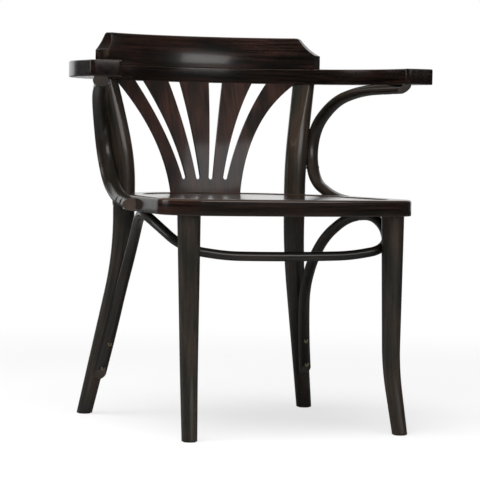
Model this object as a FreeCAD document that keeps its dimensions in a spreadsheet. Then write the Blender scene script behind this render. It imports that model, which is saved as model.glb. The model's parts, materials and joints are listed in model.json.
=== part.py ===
import FreeCAD, Part
import math
import os

import Sketcher
from FreeCAD import Placement, Rotation, Vector

# Bentwood bistro armchair, in millimetres. The floor is Z = 0, the sitter faces -Y and +X is
# on the right of somebody who looks at the chair from the front. "right" means the +X side.

os.makedirs("parts", exist_ok=True)
doc = FreeCAD.newDocument("bentwood_armchair")
sheet = doc.addObject("Spreadsheet::Sheet", "Sheet")

# Driving dimensions: name, size, what it is

DIMENSIONS = [
    ("seat_top", 462, "height of the seat ring's upper face"),
    ("rim_height", 32, "height of the seat ring's section"),
    ("rim_width", 46, "width of the seat ring's section"),
    ("seat_rear_radius", 248, "outer radius of the ring's round back"),
    ("seat_rear_centre", 13, "how far that radius is centred in front of the origin"),
    ("seat_corner_radius", 75, "outer radius of the ring's front corners"),
    ("seat_corner_x", 191.5, "corner centre to the middle plane"),
    ("seat_corner_y", 211.6, "corner centre in front of the origin"),
    ("seat_front_radius", 1200, "radius of the bowed front of the ring"),
    ("seat_inner_corner", 45, "radius of the front corners of the ring's opening"),
    ("rim_edge", 5, "rounding of the ring's upper outer edge"),
    ("rim_low_edge", 2.5, "rounding of the ring's lower outer edge"),
    ("panel_lip", 7, "width of the rebate that the panel lies in"),
    ("panel_thickness", 8, "plywood seat panel"),
    ("panel_sink", 2, "how far the panel lies below the ring's upper face"),
    ("panel_edge", 1.2, "eased edge of the panel"),
    ("front_leg_x", 217.2, "front leg at the seat, from the middle plane"),
    ("front_leg_y", 246.5, "front leg at the seat, in front of the origin"),
    ("front_leg_radius", 22.6, "front leg under the seat"),
    ("front_leg_spread", -0.0065, "outward lean of the upper front leg, per height"),
    ("front_leg_lean", 0.028, "forward lean of the upper front leg"),
    ("front_foot_radius", 15.1, "front leg at the floor"),
    ("front_flare_knee", 130, "height at which the front leg turns forward"),
    ("front_flare_reach", 44, "half height of that bend"),
    ("front_flare", 0.199, "extra forward slope of the front foot"),
    ("front_flare_out", 0.07, "outward slope of the front foot"),
    ("tenon_radius", 12.5, "round tenon on the front leg"),
    ("tenon_length", 20, "length of that tenon"),
    ("rear_leg_x", 192.7, "rear leg at the seat, from the middle plane"),
    ("rear_leg_y", 171.8, "rear leg at the seat, behind the origin"),
    ("rear_leg_radius", 22.5, "rear leg at the seat"),
    ("rear_top_radius", 23.4, "rear leg under the bow"),
    ("rear_foot_radius", 16.1, "rear leg at the floor"),
    ("rear_splay", 0.2464, "slope of the rear leg below the seat, along its diagonal"),
    ("rear_knee", 336, "height at which the rear leg turns upright"),
    ("rear_knee_reach", 80, "half height of that bend"),
    ("rear_lean", 0.248, "slope of the rear leg above the seat, along its diagonal"),
    ("rear_waist", 525, "height at which the rear leg turns back"),
    ("rear_waist_reach", 55, "half height of that bend"),
    ("facet_depth", 8, "depth of the flat on the rear leg's inner side, at its top"),
    ("facet_foot", 555, "height at which that flat runs out"),
    ("rear_tenon_radius", 10, "round tenon on top of the rear leg"),
    ("rear_tenon_length", 18, "length of that tenon"),
    ("glide_height", 1.5, "glide under each foot"),
    ("glide_radius", 12, "radius of the glide"),
    ("nail_radius", 1.1, "nail of the glide"),
    ("nail_sink", 0.6, "how far the nail's head lies above the floor"),
    ("nail_length", 16, "length of the nail"),
    ("bow_bottom", 693.3, "height of the arm bow's underside"),
    ("bow_height", 32, "height of the arm bow"),
    ("bow_centre", 37, "how far the bow is centred in front of the origin"),
    ("bow_inner_radius", 308, "inner radius of the bow"),
    ("bow_half_width", 372, "outer face of the arms, from the middle plane"),
    ("bow_back_radius", 388.7, "outer radius of the bow across the back"),
    ("bow_back_shift", 48.7, "how far that radius is centred in front of the bow's centre"),
    ("arm_inner_reach", 79.5, "inner corner of the arm's end, in front of the bow's centre"),
    ("arm_outer_reach", 74, "outer corner of the arm's end, in front of the bow's centre"),
    ("arm_corner_radius", 9, "upright rounding of the arm's end"),
    ("bow_edge", 2.5, "rounding along the bow"),
    ("crest_height", 66, "height of the crest above the bow"),
    ("crest_back_radius", 340, "outer radius of the crest"),
    ("crest_front_radius", 122.8, "radius on which the crest's front leans back"),
    ("crest_half_angle", 48.3, "half of the angle that the crest takes"),
    ("crest_ear_height", 28.7, "height of the crest at its ends"),
    ("scoop_angle", 43.8, "direction of the scooped corner, from the middle plane"),
    ("scoop_half_width", 25.8, "half width of the scooped corner"),
    ("scoop_round", 14, "convex radius at the top of the scoop"),
    ("scoop_turn", 50, "turn of that convex arc"),
    ("crest_edge", 3, "rounding along the crest's top"),
    ("crest_dowel_radius", 5, "dowel between the bow and the crest"),
    ("crest_dowel_half", 19, "half length of the dowel"),
    ("crest_dowel_circle", 325, "radius on which the dowels stand"),
    ("dowel_inner_angle", 12, "direction of the inner dowels, from the middle plane"),
    ("dowel_outer_angle", 33, "direction of the outer dowels"),
    ("splat_thickness", 7, "moulded plywood of the back splat"),
    ("splat_foot", 452, "height of the splat's hidden foot"),
    ("splat_head", 703, "height of the splat's hidden head"),
    ("splat_sheet_half", 215, "half width of the plywood before it is trimmed"),
    ("tongue_step", 6, "how far the tongues are set in from the splat's edges"),
    ("splat_foot_y", 198.7, "front face of the splat at its foot, behind the origin"),
    ("splat_waist_y", 226, "front face of the splat half-way up"),
    ("splat_head_y", 275.7, "front face of the splat at its head"),
    ("splat_foot_radius", 660, "plan radius of the splat at its foot"),
    ("splat_waist_radius", 400, "plan radius half-way up"),
    ("splat_head_radius", 305, "plan radius at its head"),
    ("splat_foot_half", 77.9, "half width of the splat at the seat"),
    ("splat_middle_half", 110.3, "half width of the splat at slot_middle"),
    ("splat_head_half", 199, "half width of the splat under the bow"),
    ("slot_foot", 489, "height of the bottom of the slots"),
    ("slot_middle", 575, "height of the slots' middle points"),
    ("slot_inner_foot", 14.4, "inner slot at its bottom, from the middle plane"),
    ("slot_inner_middle", 25.8, "inner slot at its middle"),
    ("slot_inner_head", 46.7, "inner slot at its top"),
    ("slot_outer_foot", 47, "outer slot at its bottom, from the middle plane"),
    ("slot_outer_middle", 73.2, "outer slot at its middle"),
    ("slot_outer_head", 134.9, "outer slot at its top"),
    ("slot_foot_half", 5.1, "half width of every slot at its bottom"),
    ("slot_middle_half", 8, "half width of every slot at its middle"),
    ("slot_inner_head_half", 14.5, "half width of an inner slot at its top"),
    ("slot_outer_head_half", 13.4, "half width of an outer slot at its top"),
    ("support_width", 31.6, "arm support across its bend"),
    ("support_thickness", 22.2, "arm support in the plane of its bend"),
    ("hoop_radius", 9.3, "radius of the leg brace round the front legs"),
    ("hoop_end_radius", 12.6, "radius of the leg brace at its screwed ends"),
    ("bend_share", 0.48, "share of a run that the bend beside it takes"),
    ("screw_radius", 2.2, "wood screws"),
    ("screw_head_radius", 4.6, "their countersunk heads"),
    ("screw_head_height", 3, "height of those heads"),
    ("screw_sink", 1.5, "how far the heads lie inside a rod's surface"),
    ("side_screw_sink", 2.2, "the same where the rod's surface is narrow"),
    ("screw_mouth", 5, "length of the plain hole in front of a head"),
    ("top_screw_length", 35, "screws from arm support to arm"),
    ("post_screw_length", 44, "screws from arm support to post"),
    ("post_screw_ceiling", 545, "highest place for those screws"),
    ("seat_screw_length", 54, "screws from arm support to seat ring"),
    ("brace_screw_length", 34, "screws of the leg brace"),
    ("brace_screw_low", 97.9, "height of the lower screw in each rear leg"),
    ("brace_screw_high", 148.9, "height of the upper one"),
    ("bow_screw_length", 62, "screws from the bow into the posts"),
    ("recess_width", 1.2, "arm of the cross recess"),
    ("recess_depth", 1.6, "depth of the cross recess"),
    ("bolt_radius", 4, "bolt between rear leg and seat ring"),
    ("bolt_height", 441, "height of that bolt"),
    ("bolt_length", 86, "length of the bolt under its head"),
    ("bolt_head_across", 13, "bolt head and nut across flats"),
    ("bolt_head_height", 5.3, "height of the bolt head"),
    ("nut_height", 6.5, "height of the nut"),
    ("washer_radius", 8.4, "outer radius of the washer"),
    ("washer_thickness", 1.6, "thickness of the washer"),
    ("counterbore_radius", 9, "hole over the bolt head"),
    ("counterbore_depth", 14, "its depth from the leg's outer side"),
    ("plug_length", 6, "wooden plug that closes the hole"),
]

# Rods are routes with a bend at every point: X, Y and Z of the right-hand side, from end to end

SUPPORT_ROUTE = [
    (334, -64, 686.3),
    (289.2, 51.4, 681.5),
    (265.1, 131.2, 659.3),
    (243.3, 179, 607.2),
    (234, 183.6, 544.9),
    (231.9, 153.4, 486.6),
    (242.1, 75.8, 455.6),
    (261, -60.5, 443),
]

HOOP_ROUTE = [
    (235.3, 192.2, 72),
    (219, 168.7, 169),
    (207, 143, 262.3),
    (206.2, 100.5, 328.5),
    (212.3, 54.4, 377.5),
    (229.5, -12.8, 419),
    (247, -85.8, 427.8),
    (244.3, -150.2, 407.6),
    (227.2, -203.4, 378.3),
    (197.7, -227, 361),
    (131.2, -233.2, 351.1),
    (40, -239, 350),
]


# Words for the sketcher: ends of a line or an arc, the origin and the two axes

START, END, CENTRE = 1, 2, 3
ORIGIN = (-1, 1)
ACROSS, UPRIGHT = -1, -2

UP = Vector(0, 0, 1)
SIDES = (("left", -1), ("right", 1))
TOUCH = 1e-4
LONG_RUN = 45
NUT_SINK = 0.5
PLUG_SINK = 0.4
CUTTER_SHARE = 8
FLAT_SHARE = 12
RECESS_SHARE = 1.2
DIAGONAL = math.sqrt(0.5)
TOP_SCREWS = (0.33, 0.55)
SEAT_SCREWS = (0.35, 0.62)
FRONT_LEG_SHARE = 0.3
TOP_CUT_SHARE = 1 / 6
HOOP_TAPER_BENDS = 8
HOOP_CREST = 5

SCREWS = (
    "arm_support_top_screws",
    "arm_support_post_screws",
    "arm_support_seat_screws",
    "brace_end_screws",
    "brace_seat_screws",
    "brace_front_leg_screws",
    "bow_post_screws",
)

NODES = (
    "seat_rim",
    "seat_panel",
    "front_leg_left",
    "front_leg_right",
    "rear_leg_left",
    "rear_leg_right",
    "arm_bow",
    "crest_rail",
    "back_splat",
    "arm_support_left",
    "arm_support_right",
    "brace_hoop",
    "rear_leg_bolts",
    "rear_leg_washers",
    "rear_leg_nuts",
    "rear_leg_bolt_plugs",
    *SCREWS,
    "crest_dowels",
    "foot_glides",
    "glide_nails",
)


def fill_sheet():
    """Every dimension gets a row of the sheet: its name, its size and what it is."""
    rows = list(DIMENSIONS)
    for word, points in (("support", SUPPORT_ROUTE), ("hoop", HOOP_ROUTE)):
        for number, point in enumerate(points):
            for axis, value in zip("xyz", point):
                rows.append((f"{word}_{axis}_{number}", value, f"{word} route"))
    for row, (alias, value, words) in enumerate(rows, start=1):
        sheet.set(f"A{row}", alias)
        sheet.set(f"B{row}", str(value))
        sheet.set(f"C{row}", words)
        sheet.setAlias(f"B{row}", alias)
    doc.recompute()


def size(alias):
    return float(sheet.get(alias))


def bind(thing, **expressions):
    """Ties properties to the sheet. A dot in a property's name is written as two underscores."""
    for name, expression in expressions.items():
        thing.setExpression(name.replace("__", "."), expression)
    return thing


# Sketches


def new_body(name):
    body = doc.addObject("PartDesign::Body", name)
    body.Label = name
    return body


def own_plane(body, role):
    return [plane for plane in body.Origin.OriginFeatures if plane.Role == role][0]


def new_sketch(body, name, role="XY_Plane", offset=None):
    """A sketch on one of the body's own origin planes. offset is an expression along its normal."""
    sketch = body.newObject("Sketcher::SketchObject", name)
    sketch.AttachmentSupport = (own_plane(body, role), [""])
    sketch.MapMode = "FlatFace"
    if offset:
        bind(sketch, AttachmentOffset__Base__z=offset)
    return sketch


def add_line(sketch, start, end):
    return sketch.addGeometry(Part.LineSegment(Vector(*start, 0), Vector(*end, 0)))


def add_arc(sketch, centre, radius, start, end):
    """An arc that runs anticlockwise between two angles in degrees."""
    circle = Part.Circle(Vector(*centre, 0), Vector(0, 0, 1), radius)
    return sketch.addGeometry(Part.ArcOfCircle(circle, math.radians(start), math.radians(end)))


def angle_of(x, y):
    return math.degrees(math.atan2(y, x))


def rule(sketch, kind, *parts):
    sketch.addConstraint(Sketcher.Constraint(kind, *parts))


def name_size(sketch, name, expression, constraint):
    """A dimension of the sketch, with a name and a cell behind it."""
    index = sketch.addConstraint(constraint)
    sketch.renameConstraint(index, name)
    sketch.setExpression(f"Constraints.{name}", expression)


def seat_outline(sketch, inset, corner):
    """The ring's plan: round back, straight sides, round corners and a bowed front, all tangent.

    inset and corner are expressions: how far inside the outer outline, and the corner radius.
    """
    inset_value = sheet_value(inset)
    corner_value = sheet_value(corner)
    rear = size("seat_rear_radius") - inset_value
    rear_y = -size("seat_rear_centre")
    front = size("seat_front_radius") - inset_value
    move = size("seat_corner_radius") - inset_value - corner_value
    corner_x = size("seat_corner_x") + move
    corner_y = -size("seat_corner_y") - move
    run = math.hypot(corner_x, corner_y - rear_y)
    tilt = math.degrees(math.acos((rear - corner_value) / run))
    side = angle_of(corner_x, corner_y - rear_y) + tilt
    front_y = corner_y + math.sqrt((front - corner_value) ** 2 - corner_x**2)
    bow = angle_of(corner_x, corner_y - front_y)

    def on(centre, radius, angle):
        turn = math.radians(angle)
        return centre[0] + radius * math.cos(turn), centre[1] + radius * math.sin(turn)

    back_arc = add_arc(sketch, (0, rear_y), rear, side, 180 - side)
    right_side = add_line(
        sketch,
        on((corner_x, corner_y), corner_value, side),
        on((0, rear_y), rear, side),
    )
    left_side = add_line(
        sketch,
        on((0, rear_y), rear, 180 - side),
        on((-corner_x, corner_y), corner_value, 180 - side),
    )
    right_corner = add_arc(sketch, (corner_x, corner_y), corner_value, bow, side)
    left_corner = add_arc(sketch, (-corner_x, corner_y), corner_value, 180 - side, 180 - bow)
    front_arc = add_arc(sketch, (0, front_y), front, 180 - bow - 360, bow)
    for first, first_end, second, second_end in (
        (right_side, END, back_arc, START),
        (back_arc, END, left_side, START),
        (left_side, END, left_corner, START),
        (left_corner, END, front_arc, START),
        (front_arc, END, right_corner, START),
        (right_corner, END, right_side, START),
    ):
        joint = Sketcher.Constraint("Tangent", first, first_end, second, second_end)
        sketch.addConstraint(joint)
    sketch.addConstraint(Sketcher.Constraint("PointOnObject", back_arc, CENTRE, UPRIGHT))
    sketch.addConstraint(
        Sketcher.Constraint("Symmetric", left_corner, CENTRE, right_corner, CENTRE, UPRIGHT)
    )
    sketch.addConstraint(Sketcher.Constraint("Equal", left_corner, right_corner))
    name_size(
        sketch,
        "rear_radius",
        f"Sheet.seat_rear_radius - ({inset})",
        Sketcher.Constraint("Radius", back_arc, rear),
    )
    name_size(
        sketch,
        "rear_centre",
        "Sheet.seat_rear_centre",
        Sketcher.Constraint("DistanceY", back_arc, CENTRE, *ORIGIN, -rear_y),
    )
    name_size(
        sketch,
        "corner_radius",
        corner,
        Sketcher.Constraint("Radius", right_corner, corner_value),
    )
    shift = f"(Sheet.seat_corner_radius - ({inset}) - ({corner}))"
    name_size(
        sketch,
        "corner_x",
        f"Sheet.seat_corner_x + {shift}",
        Sketcher.Constraint("DistanceX", *ORIGIN, right_corner, CENTRE, corner_x),
    )
    name_size(
        sketch,
        "corner_y",
        f"Sheet.seat_corner_y + {shift}",
        Sketcher.Constraint("DistanceY", right_corner, CENTRE, *ORIGIN, -corner_y),
    )
    name_size(
        sketch,
        "front_radius",
        f"Sheet.seat_front_radius - ({inset})",
        Sketcher.Constraint("Radius", front_arc, front),
    )


def sheet_value(expression):
    """The number that an expression of sums of cells stands for."""
    total = 0.0
    sign = 1.0
    for word in expression.replace("Sheet.", "").split():
        if word in "+-":
            sign = -1.0 if word == "-" else 1.0
        else:
            number = size(word) if word[0].isalpha() else float(word)
            total += sign * number
    return total


# Solids that several pieces share


def compound(name, things):
    """Equal pieces that share one node, each still a solid of its own."""
    group = doc.addObject("Part::Compound", name)
    group.Label = name
    group.Links = things
    return group


def fuse(name, things):
    piece = doc.addObject("Part::MultiFuse", name)
    piece.Label = name
    piece.Shapes = things
    return piece


def cut(name, base, tools):
    """base without the tools, as the piece called name."""
    piece = doc.addObject("Part::Cut", name)
    piece.Label = name
    piece.Base = base
    piece.Tool = tools[0] if len(tools) == 1 else fuse(name + "_tools", tools)
    return piece


def along(direction):
    """The turn that takes +Z to direction."""
    return Rotation(Vector(0, 0, 1), direction)


def upright_along(direction):
    """The turn that takes +Z to a level direction and keeps +Y upright."""
    return Rotation(UP.cross(direction), UP, direction, "ZXY")


def rod(name, radius, height, start, direction):
    """A cylinder whose radius and height are expressions."""
    piece = doc.addObject("Part::Cylinder", name)
    bind(piece, Radius=radius, Height=height)
    piece.Placement = Placement(start, along(direction))
    return piece


def block(name, edge, middle, across, other, normal):
    """A cube with the middle of its base at a point. edge is an expression."""
    piece = doc.addObject("Part::Box", name)
    bind(piece, Length=edge, Width=edge, Height=edge)
    doc.recompute()
    half = piece.Length.Value / 2
    corner = middle - across * half - other * half
    piece.Placement = Placement(corner, Rotation(across, other, normal, "ZXY"))
    return piece


def slant(name, tip, run, toward, back, size_name):
    """A cube that cuts a rod's end at a slant: the cut face looks along run and toward."""
    normal = (run + toward).normalize()
    across = normal.cross(run).normalize()
    other = normal.cross(across).normalize()
    edge = f"{CUTTER_SHARE} * Sheet.{size_name}"
    return block(name, edge, tip - run * back, across, other, normal)


def station(name, x, y, z, radius):
    """A level circle of a turned or bent leg. All four are expressions."""
    circle = doc.addObject("Part::Circle", name)
    bind(circle, Radius=radius)
    bind(circle, Placement__Base__x=x, Placement__Base__y=y, Placement__Base__z=z)
    return circle


def loft(name, sections):
    piece = doc.addObject("Part::Loft", name)
    piece.Sections = sections
    piece.Solid = True
    piece.Ruled = False
    return piece


def lean(height, knee, reach, slope, way):
    """Sideways travel of a line that is upright on one side of a knee and leans on the other.

    Within reach of the knee the travel is a parabola, which meets both straight runs smoothly.
    way is 1 for a line that leans above the knee and -1 for one that leans below it.
    """
    past = way * (height - size(knee))
    if past >= size(reach):
        return f"Sheet.{slope} * ({way}) * ({height} - Sheet.{knee})"
    if past > -size(reach):
        inside = f"(({way}) * ({height} - Sheet.{knee}) + Sheet.{reach})"
        return f"Sheet.{slope} * {inside}^2 / (4 * Sheet.{reach})"
    return "0"


def heights_of(bottom, top, *bends):
    """Heights of the stations: the ends, five through every bend and several in a long run."""
    marks = [bottom, top]
    for knee, reach in bends:
        marks += [size(knee) + size(reach) * step / 2 for step in range(-2, 3)]
    marks.sort()
    between = []
    for low, high in zip(marks, marks[1:]):
        steps = math.ceil((high - low) / LONG_RUN)
        between += [low + (high - low) * step / steps for step in range(1, steps)]
    return sorted(marks + between)


def route_points(word, count, side):
    return [
        Vector(side * size(f"{word}_x_{n}"), size(f"{word}_y_{n}"), size(f"{word}_z_{n}"))
        for n in range(count)
    ]


def bent_wire(points):
    """Straight runs joined by tangent arcs, one for every inner point.

    Each arc takes bend_share of the shorter run beside it.
    """
    share = size("bend_share")
    edges = []
    radii = []
    last = points[0]
    for before, corner, after in zip(points, points[1:], points[2:]):
        back = before - corner
        ahead = after - corner
        reach = share * min(back.Length, ahead.Length)
        turn = math.pi - back.getAngle(ahead)
        back.normalize()
        ahead.normalize()
        middle = (back + ahead).normalize()
        radius = reach / math.tan(turn / 2)
        sagitta = radius / math.cos(turn / 2) - radius
        start = corner + back * reach
        end = corner + ahead * reach
        edges.append(Part.LineSegment(last, start).toShape())
        edges.append(Part.Arc(start, corner + middle * sagitta, end).toShape())
        radii.append(round(radius))
        last = end
    edges.append(Part.LineSegment(last, points[-1]).toShape())
    wire = Part.Wire(edges)
    print("bends of radius", radii, "on a rod of length", round(wire.Length))
    return wire


def bent_path(name, points):
    path = doc.addObject("Part::Feature", name)
    path.Shape = bent_wire(points)
    return path


def section_on(name, edge, share, radius):
    """A circle square to an edge of a path: share is 0 at the edge's start and 1 at its end."""
    place = edge.FirstParameter + (edge.LastParameter - edge.FirstParameter) * share
    circle = doc.addObject("Part::Circle", name)
    bind(circle, Radius=f"Sheet.{radius}")
    circle.Placement = Placement(edge.valueAt(place), along(edge.tangentAt(place)))
    return circle


def sweep(name, sections, path, first=0, last=None):
    """A solid along some of a path's edges, from number first to the one before last."""
    names = [f"Edge{n + 1}" for n in range(len(path.Shape.Edges))]
    piece = doc.addObject("Part::Sweep", name)
    piece.Sections = sections
    piece.Spine = (path, names[first:last])
    piece.Solid = True
    return piece


def nearest(path, line):
    """The point of a rod's middle line that is closest to a straight line, and the way there."""
    _, pairs, _ = path.Shape.distToShape(line)
    here, there = pairs[0]
    return here, (there - here).normalize()


def skin(piece, middle, outward):
    """The point where a straight line from a rod's middle line leaves the rod."""
    inside = Part.makeLine(middle, middle + outward * size("support_width")).common(piece.Shape)
    return max((vertex.Point for vertex in inside.Vertexes), key=middle.distanceToPoint)


# Fasteners


def screw(name, head, direction, length):
    """A countersunk screw. head is the middle of its face; direction points into the wood.

    Returns the finished screw, with its cross recess, and the blank that cuts its hole.
    """
    turn = along(direction)
    cone = doc.addObject("Part::Cone", name + "_head")
    bind(cone, Radius1="Sheet.screw_head_radius", Radius2="Sheet.screw_radius")
    bind(cone, Height="Sheet.screw_head_height")
    cone.Placement = Placement(head, turn)
    shank = rod(name + "_shank", "Sheet.screw_radius", f"Sheet.{length}", head, direction)
    whole = fuse(name + "_whole", [cone, shank])
    mouth = rod(name + "_mouth", "Sheet.screw_head_radius", "Sheet.screw_mouth", head, -direction)
    bars = []
    long, short = f"{RECESS_SHARE} * Sheet.screw_head_radius", "Sheet.recess_width"
    for word, length_x, length_y in (("bar", long, short), ("cross", short, long)):
        bar = doc.addObject("Part::Box", f"{name}_{word}")
        bind(bar, Length=length_x, Width=length_y, Height="2 * Sheet.recess_depth")
        doc.recompute()
        corner = Vector(-bar.Length.Value / 2, -bar.Width.Value / 2, -size("recess_depth"))
        bar.Placement = Placement(head + turn.multVec(corner), turn)
        bars.append(bar)
    return cut(name, whole, bars), fuse(name + "_blank", [whole, mouth])


def screws(name, places):
    """One node of equal screws: places holds a head point, a direction and a length name."""
    made = [screw(f"{name}_{n}", *place) for n, place in enumerate(places)]
    return compound(name, [piece for piece, blank in made]), [blank for piece, blank in made]


def make_bolts(ring_gap):
    """Bolt, washer, nut and plug on the diagonal through each rear leg.

    ring_gap is how far the ring's outer face lies from the leg's middle line.
    """
    leg_face = size("rear_leg_radius")
    floor = leg_face - size("counterbore_depth")
    inside = ring_gap + size("rim_width")
    across = "Sheet.bolt_head_across / (2 * cos(30))"
    nodes = {"bolts": [], "washers": [], "nuts": [], "plugs": []}
    leg_holes = {}
    ring_holes = []
    for word, side in SIDES:
        outward = Vector(side, 1, 0).normalize()
        axis = Vector(side * size("rear_leg_x"), size("rear_leg_y"), size("bolt_height"))
        seat_face = axis + outward * floor
        head_base = seat_face + outward * size("washer_thickness")
        shank = rod(
            f"bolt_{word}_shank",
            "Sheet.bolt_radius",
            "Sheet.bolt_length",
            head_base,
            -outward,
        )
        head = hexagon(f"bolt_{word}_head", across, "Sheet.bolt_head_height", head_base, outward)
        nodes["bolts"].append(fuse(f"bolt_{word}", [head, shank]))
        disc = rod(
            f"washer_{word}_disc",
            "Sheet.washer_radius",
            "Sheet.washer_thickness",
            seat_face,
            outward,
        )
        nodes["washers"].append(cut(f"washer_{word}", disc, [shank]))
        nut_base = axis - outward * (inside - NUT_SINK)
        nut = hexagon(f"nut_{word}_hexagon", across, "Sheet.nut_height", nut_base, -outward)
        nodes["nuts"].append(cut(f"nut_{word}", nut, [shank]))
        well = rod(
            f"bolt_{word}_well",
            "Sheet.counterbore_radius",
            "2 * Sheet.counterbore_depth",
            seat_face,
            outward,
        )
        plug_base = axis + outward * (leg_face - size("plug_length") - PLUG_SINK)
        nodes["plugs"].append(
            rod(
                f"plug_{word}",
                "Sheet.counterbore_radius",
                "Sheet.plug_length",
                plug_base,
                outward,
            )
        )
        leg_holes[word] = [fuse(f"bolt_{word}_hole", [well, shank])]
        ring_holes.append(fuse(f"bolt_{word}_ring_hole", [nut, shank]))
    pieces = [compound(f"rear_leg_{word}", nodes[word]) for word in ("bolts", "washers", "nuts")]
    pieces.append(compound("rear_leg_bolt_plugs", nodes["plugs"]))
    return pieces, leg_holes, ring_holes


def hexagon(name, radius, height, base, direction):
    """A six-sided prism with level faces above and below."""
    piece = doc.addObject("Part::Prism", name)
    piece.Polygon = 6
    bind(piece, Circumradius=radius, Height=height)
    piece.Placement = Placement(base, upright_along(direction))
    return piece


# Seat


def make_seat():
    """The blank of the bent ring, with its opening and rebate, and the panel that fills it."""
    floor = size("seat_top") - size("rim_height")
    body = new_body("seat_rim_blank")
    outline = new_sketch(body, "rim_outline", offset="Sheet.seat_top - Sheet.rim_height")
    seat_outline(outline, "0", "Sheet.seat_corner_radius")
    ring = add_pad(body, "rim_pad", outline, "Sheet.rim_height")
    full = ring.Shape.Volume
    upper = add_fillet(body, "rim_upper_edge", ring, size("seat_top"), "Sheet.rim_edge")
    add_fillet(body, "rim_lower_edge", upper, floor, "Sheet.rim_low_edge")
    opening = new_sketch(body, "rim_opening", offset="Sheet.seat_top")
    seat_outline(opening, "Sheet.rim_width", "Sheet.seat_inner_corner")
    hole = body.newObject("PartDesign::Pocket", "rim_hole")
    hole.Profile = opening
    hole.Type = "ThroughAll"
    rebate_plan = new_sketch(body, "rim_rebate_plan", offset="Sheet.seat_top")
    lip = ("Sheet.rim_width - Sheet.panel_lip", "Sheet.seat_inner_corner + Sheet.panel_lip")
    seat_outline(rebate_plan, *lip)
    rebate = body.newObject("PartDesign::Pocket", "rim_rebate")
    rebate.Profile = rebate_plan
    bind(rebate, Length="Sheet.panel_sink + Sheet.panel_thickness")
    doc.recompute()
    check_cut("seat ring", full, rebate.Shape.Volume)

    panel = new_body("seat_panel")
    under = "Sheet.seat_top - Sheet.panel_sink - Sheet.panel_thickness"
    plan = new_sketch(panel, "panel_plan", offset=under)
    seat_outline(plan, *lip)
    board = add_pad(panel, "panel_pad", plan, "Sheet.panel_thickness")
    eased = panel.newObject("PartDesign::Chamfer", "panel_eased")
    top = size("seat_top") - size("panel_sink")
    eased.Base = (board, edge_names(board, level_edges(board, top)))
    bind(eased, Size="Sheet.panel_edge")
    doc.recompute()
    return body, panel


def add_pad(body, name, sketch, length):
    pad = body.newObject("PartDesign::Pad", name)
    pad.Profile = sketch
    bind(pad, Length=length)
    doc.recompute()
    return pad


def add_fillet(body, name, feature, height, radius):
    """Rounds every edge of a feature that lies at one height."""
    fillet = body.newObject("PartDesign::Fillet", name)
    fillet.Base = (feature, edge_names(feature, level_edges(feature, height)))
    bind(fillet, Radius=radius)
    doc.recompute()
    return fillet


def level_edges(feature, height):
    """The edges that lie at one height."""
    found = []
    for edge in feature.Shape.Edges:
        box = edge.BoundBox
        if abs(box.ZMin - height) < TOUCH and abs(box.ZMax - height) < TOUCH:
            found.append(edge)
    return found


def edge_names(feature, edges):
    """The names that the feature gives to these edges of its shape."""
    names = []
    for number, edge in enumerate(feature.Shape.Edges, start=1):
        if any(edge.isSame(other) for other in edges):
            names.append(f"Edge{number}")
    return names


def check_cut(what, before, after):
    if after >= before - 1:
        raise RuntimeError(f"{what}: the cut removed nothing")
    print(what, "volume", round(before), "cut to", round(after))


# Legs


def front_leg_centre(side, height):
    """Expressions for the middle of a front leg at one height."""
    forward = lean(height, "front_flare_knee", "front_flare_reach", "front_flare", -1)
    out = lean(height, "front_flare_knee", "front_flare_reach", "front_flare_out", -1)
    below = f"(Sheet.seat_top - Sheet.rim_height - {height})"
    x = f"({side}) * (Sheet.front_leg_x + Sheet.front_leg_spread * {below} + {out})"
    y = f"-(Sheet.front_leg_y + Sheet.front_leg_lean * {below} + {forward})"
    return x, y


def make_front_leg(word, side):
    """A turned, tapered leg with a foot that is bent forward, and a round tenon on top."""
    bottom = size("glide_height")
    top = size("seat_top") - size("rim_height")
    circles = []
    marks = heights_of(bottom, top, ("front_flare_knee", "front_flare_reach"))
    for number, height in enumerate(marks):
        x, y = front_leg_centre(side, height)
        taper = "(Sheet.front_leg_radius - Sheet.front_foot_radius)"
        radius = f"Sheet.front_foot_radius + {taper} * {height / top:.4f}"
        circles.append(station(f"front_{word}_{number}", x, y, str(height), radius))
    shaft = loft(f"front_{word}_shaft", circles)
    doc.recompute()
    head = circles[-1].Placement.Base
    tenon = rod(f"front_{word}_tenon", "Sheet.tenon_radius", "Sheet.tenon_length", head, UP)
    return shaft, tenon, circles[0].Placement.Base


def rear_leg_centre(side, height):
    """Expressions for the middle of a rear leg, which bends in an upright diagonal plane."""
    below = lean(height, "rear_knee", "rear_knee_reach", "rear_splay", -1)
    above = lean(height, "rear_waist", "rear_waist_reach", "rear_lean", 1)
    travel = f"{DIAGONAL:.6f} * ({below} + {above})"
    return f"({side}) * (Sheet.rear_leg_x + {travel})", f"Sheet.rear_leg_y + {travel}"


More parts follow.
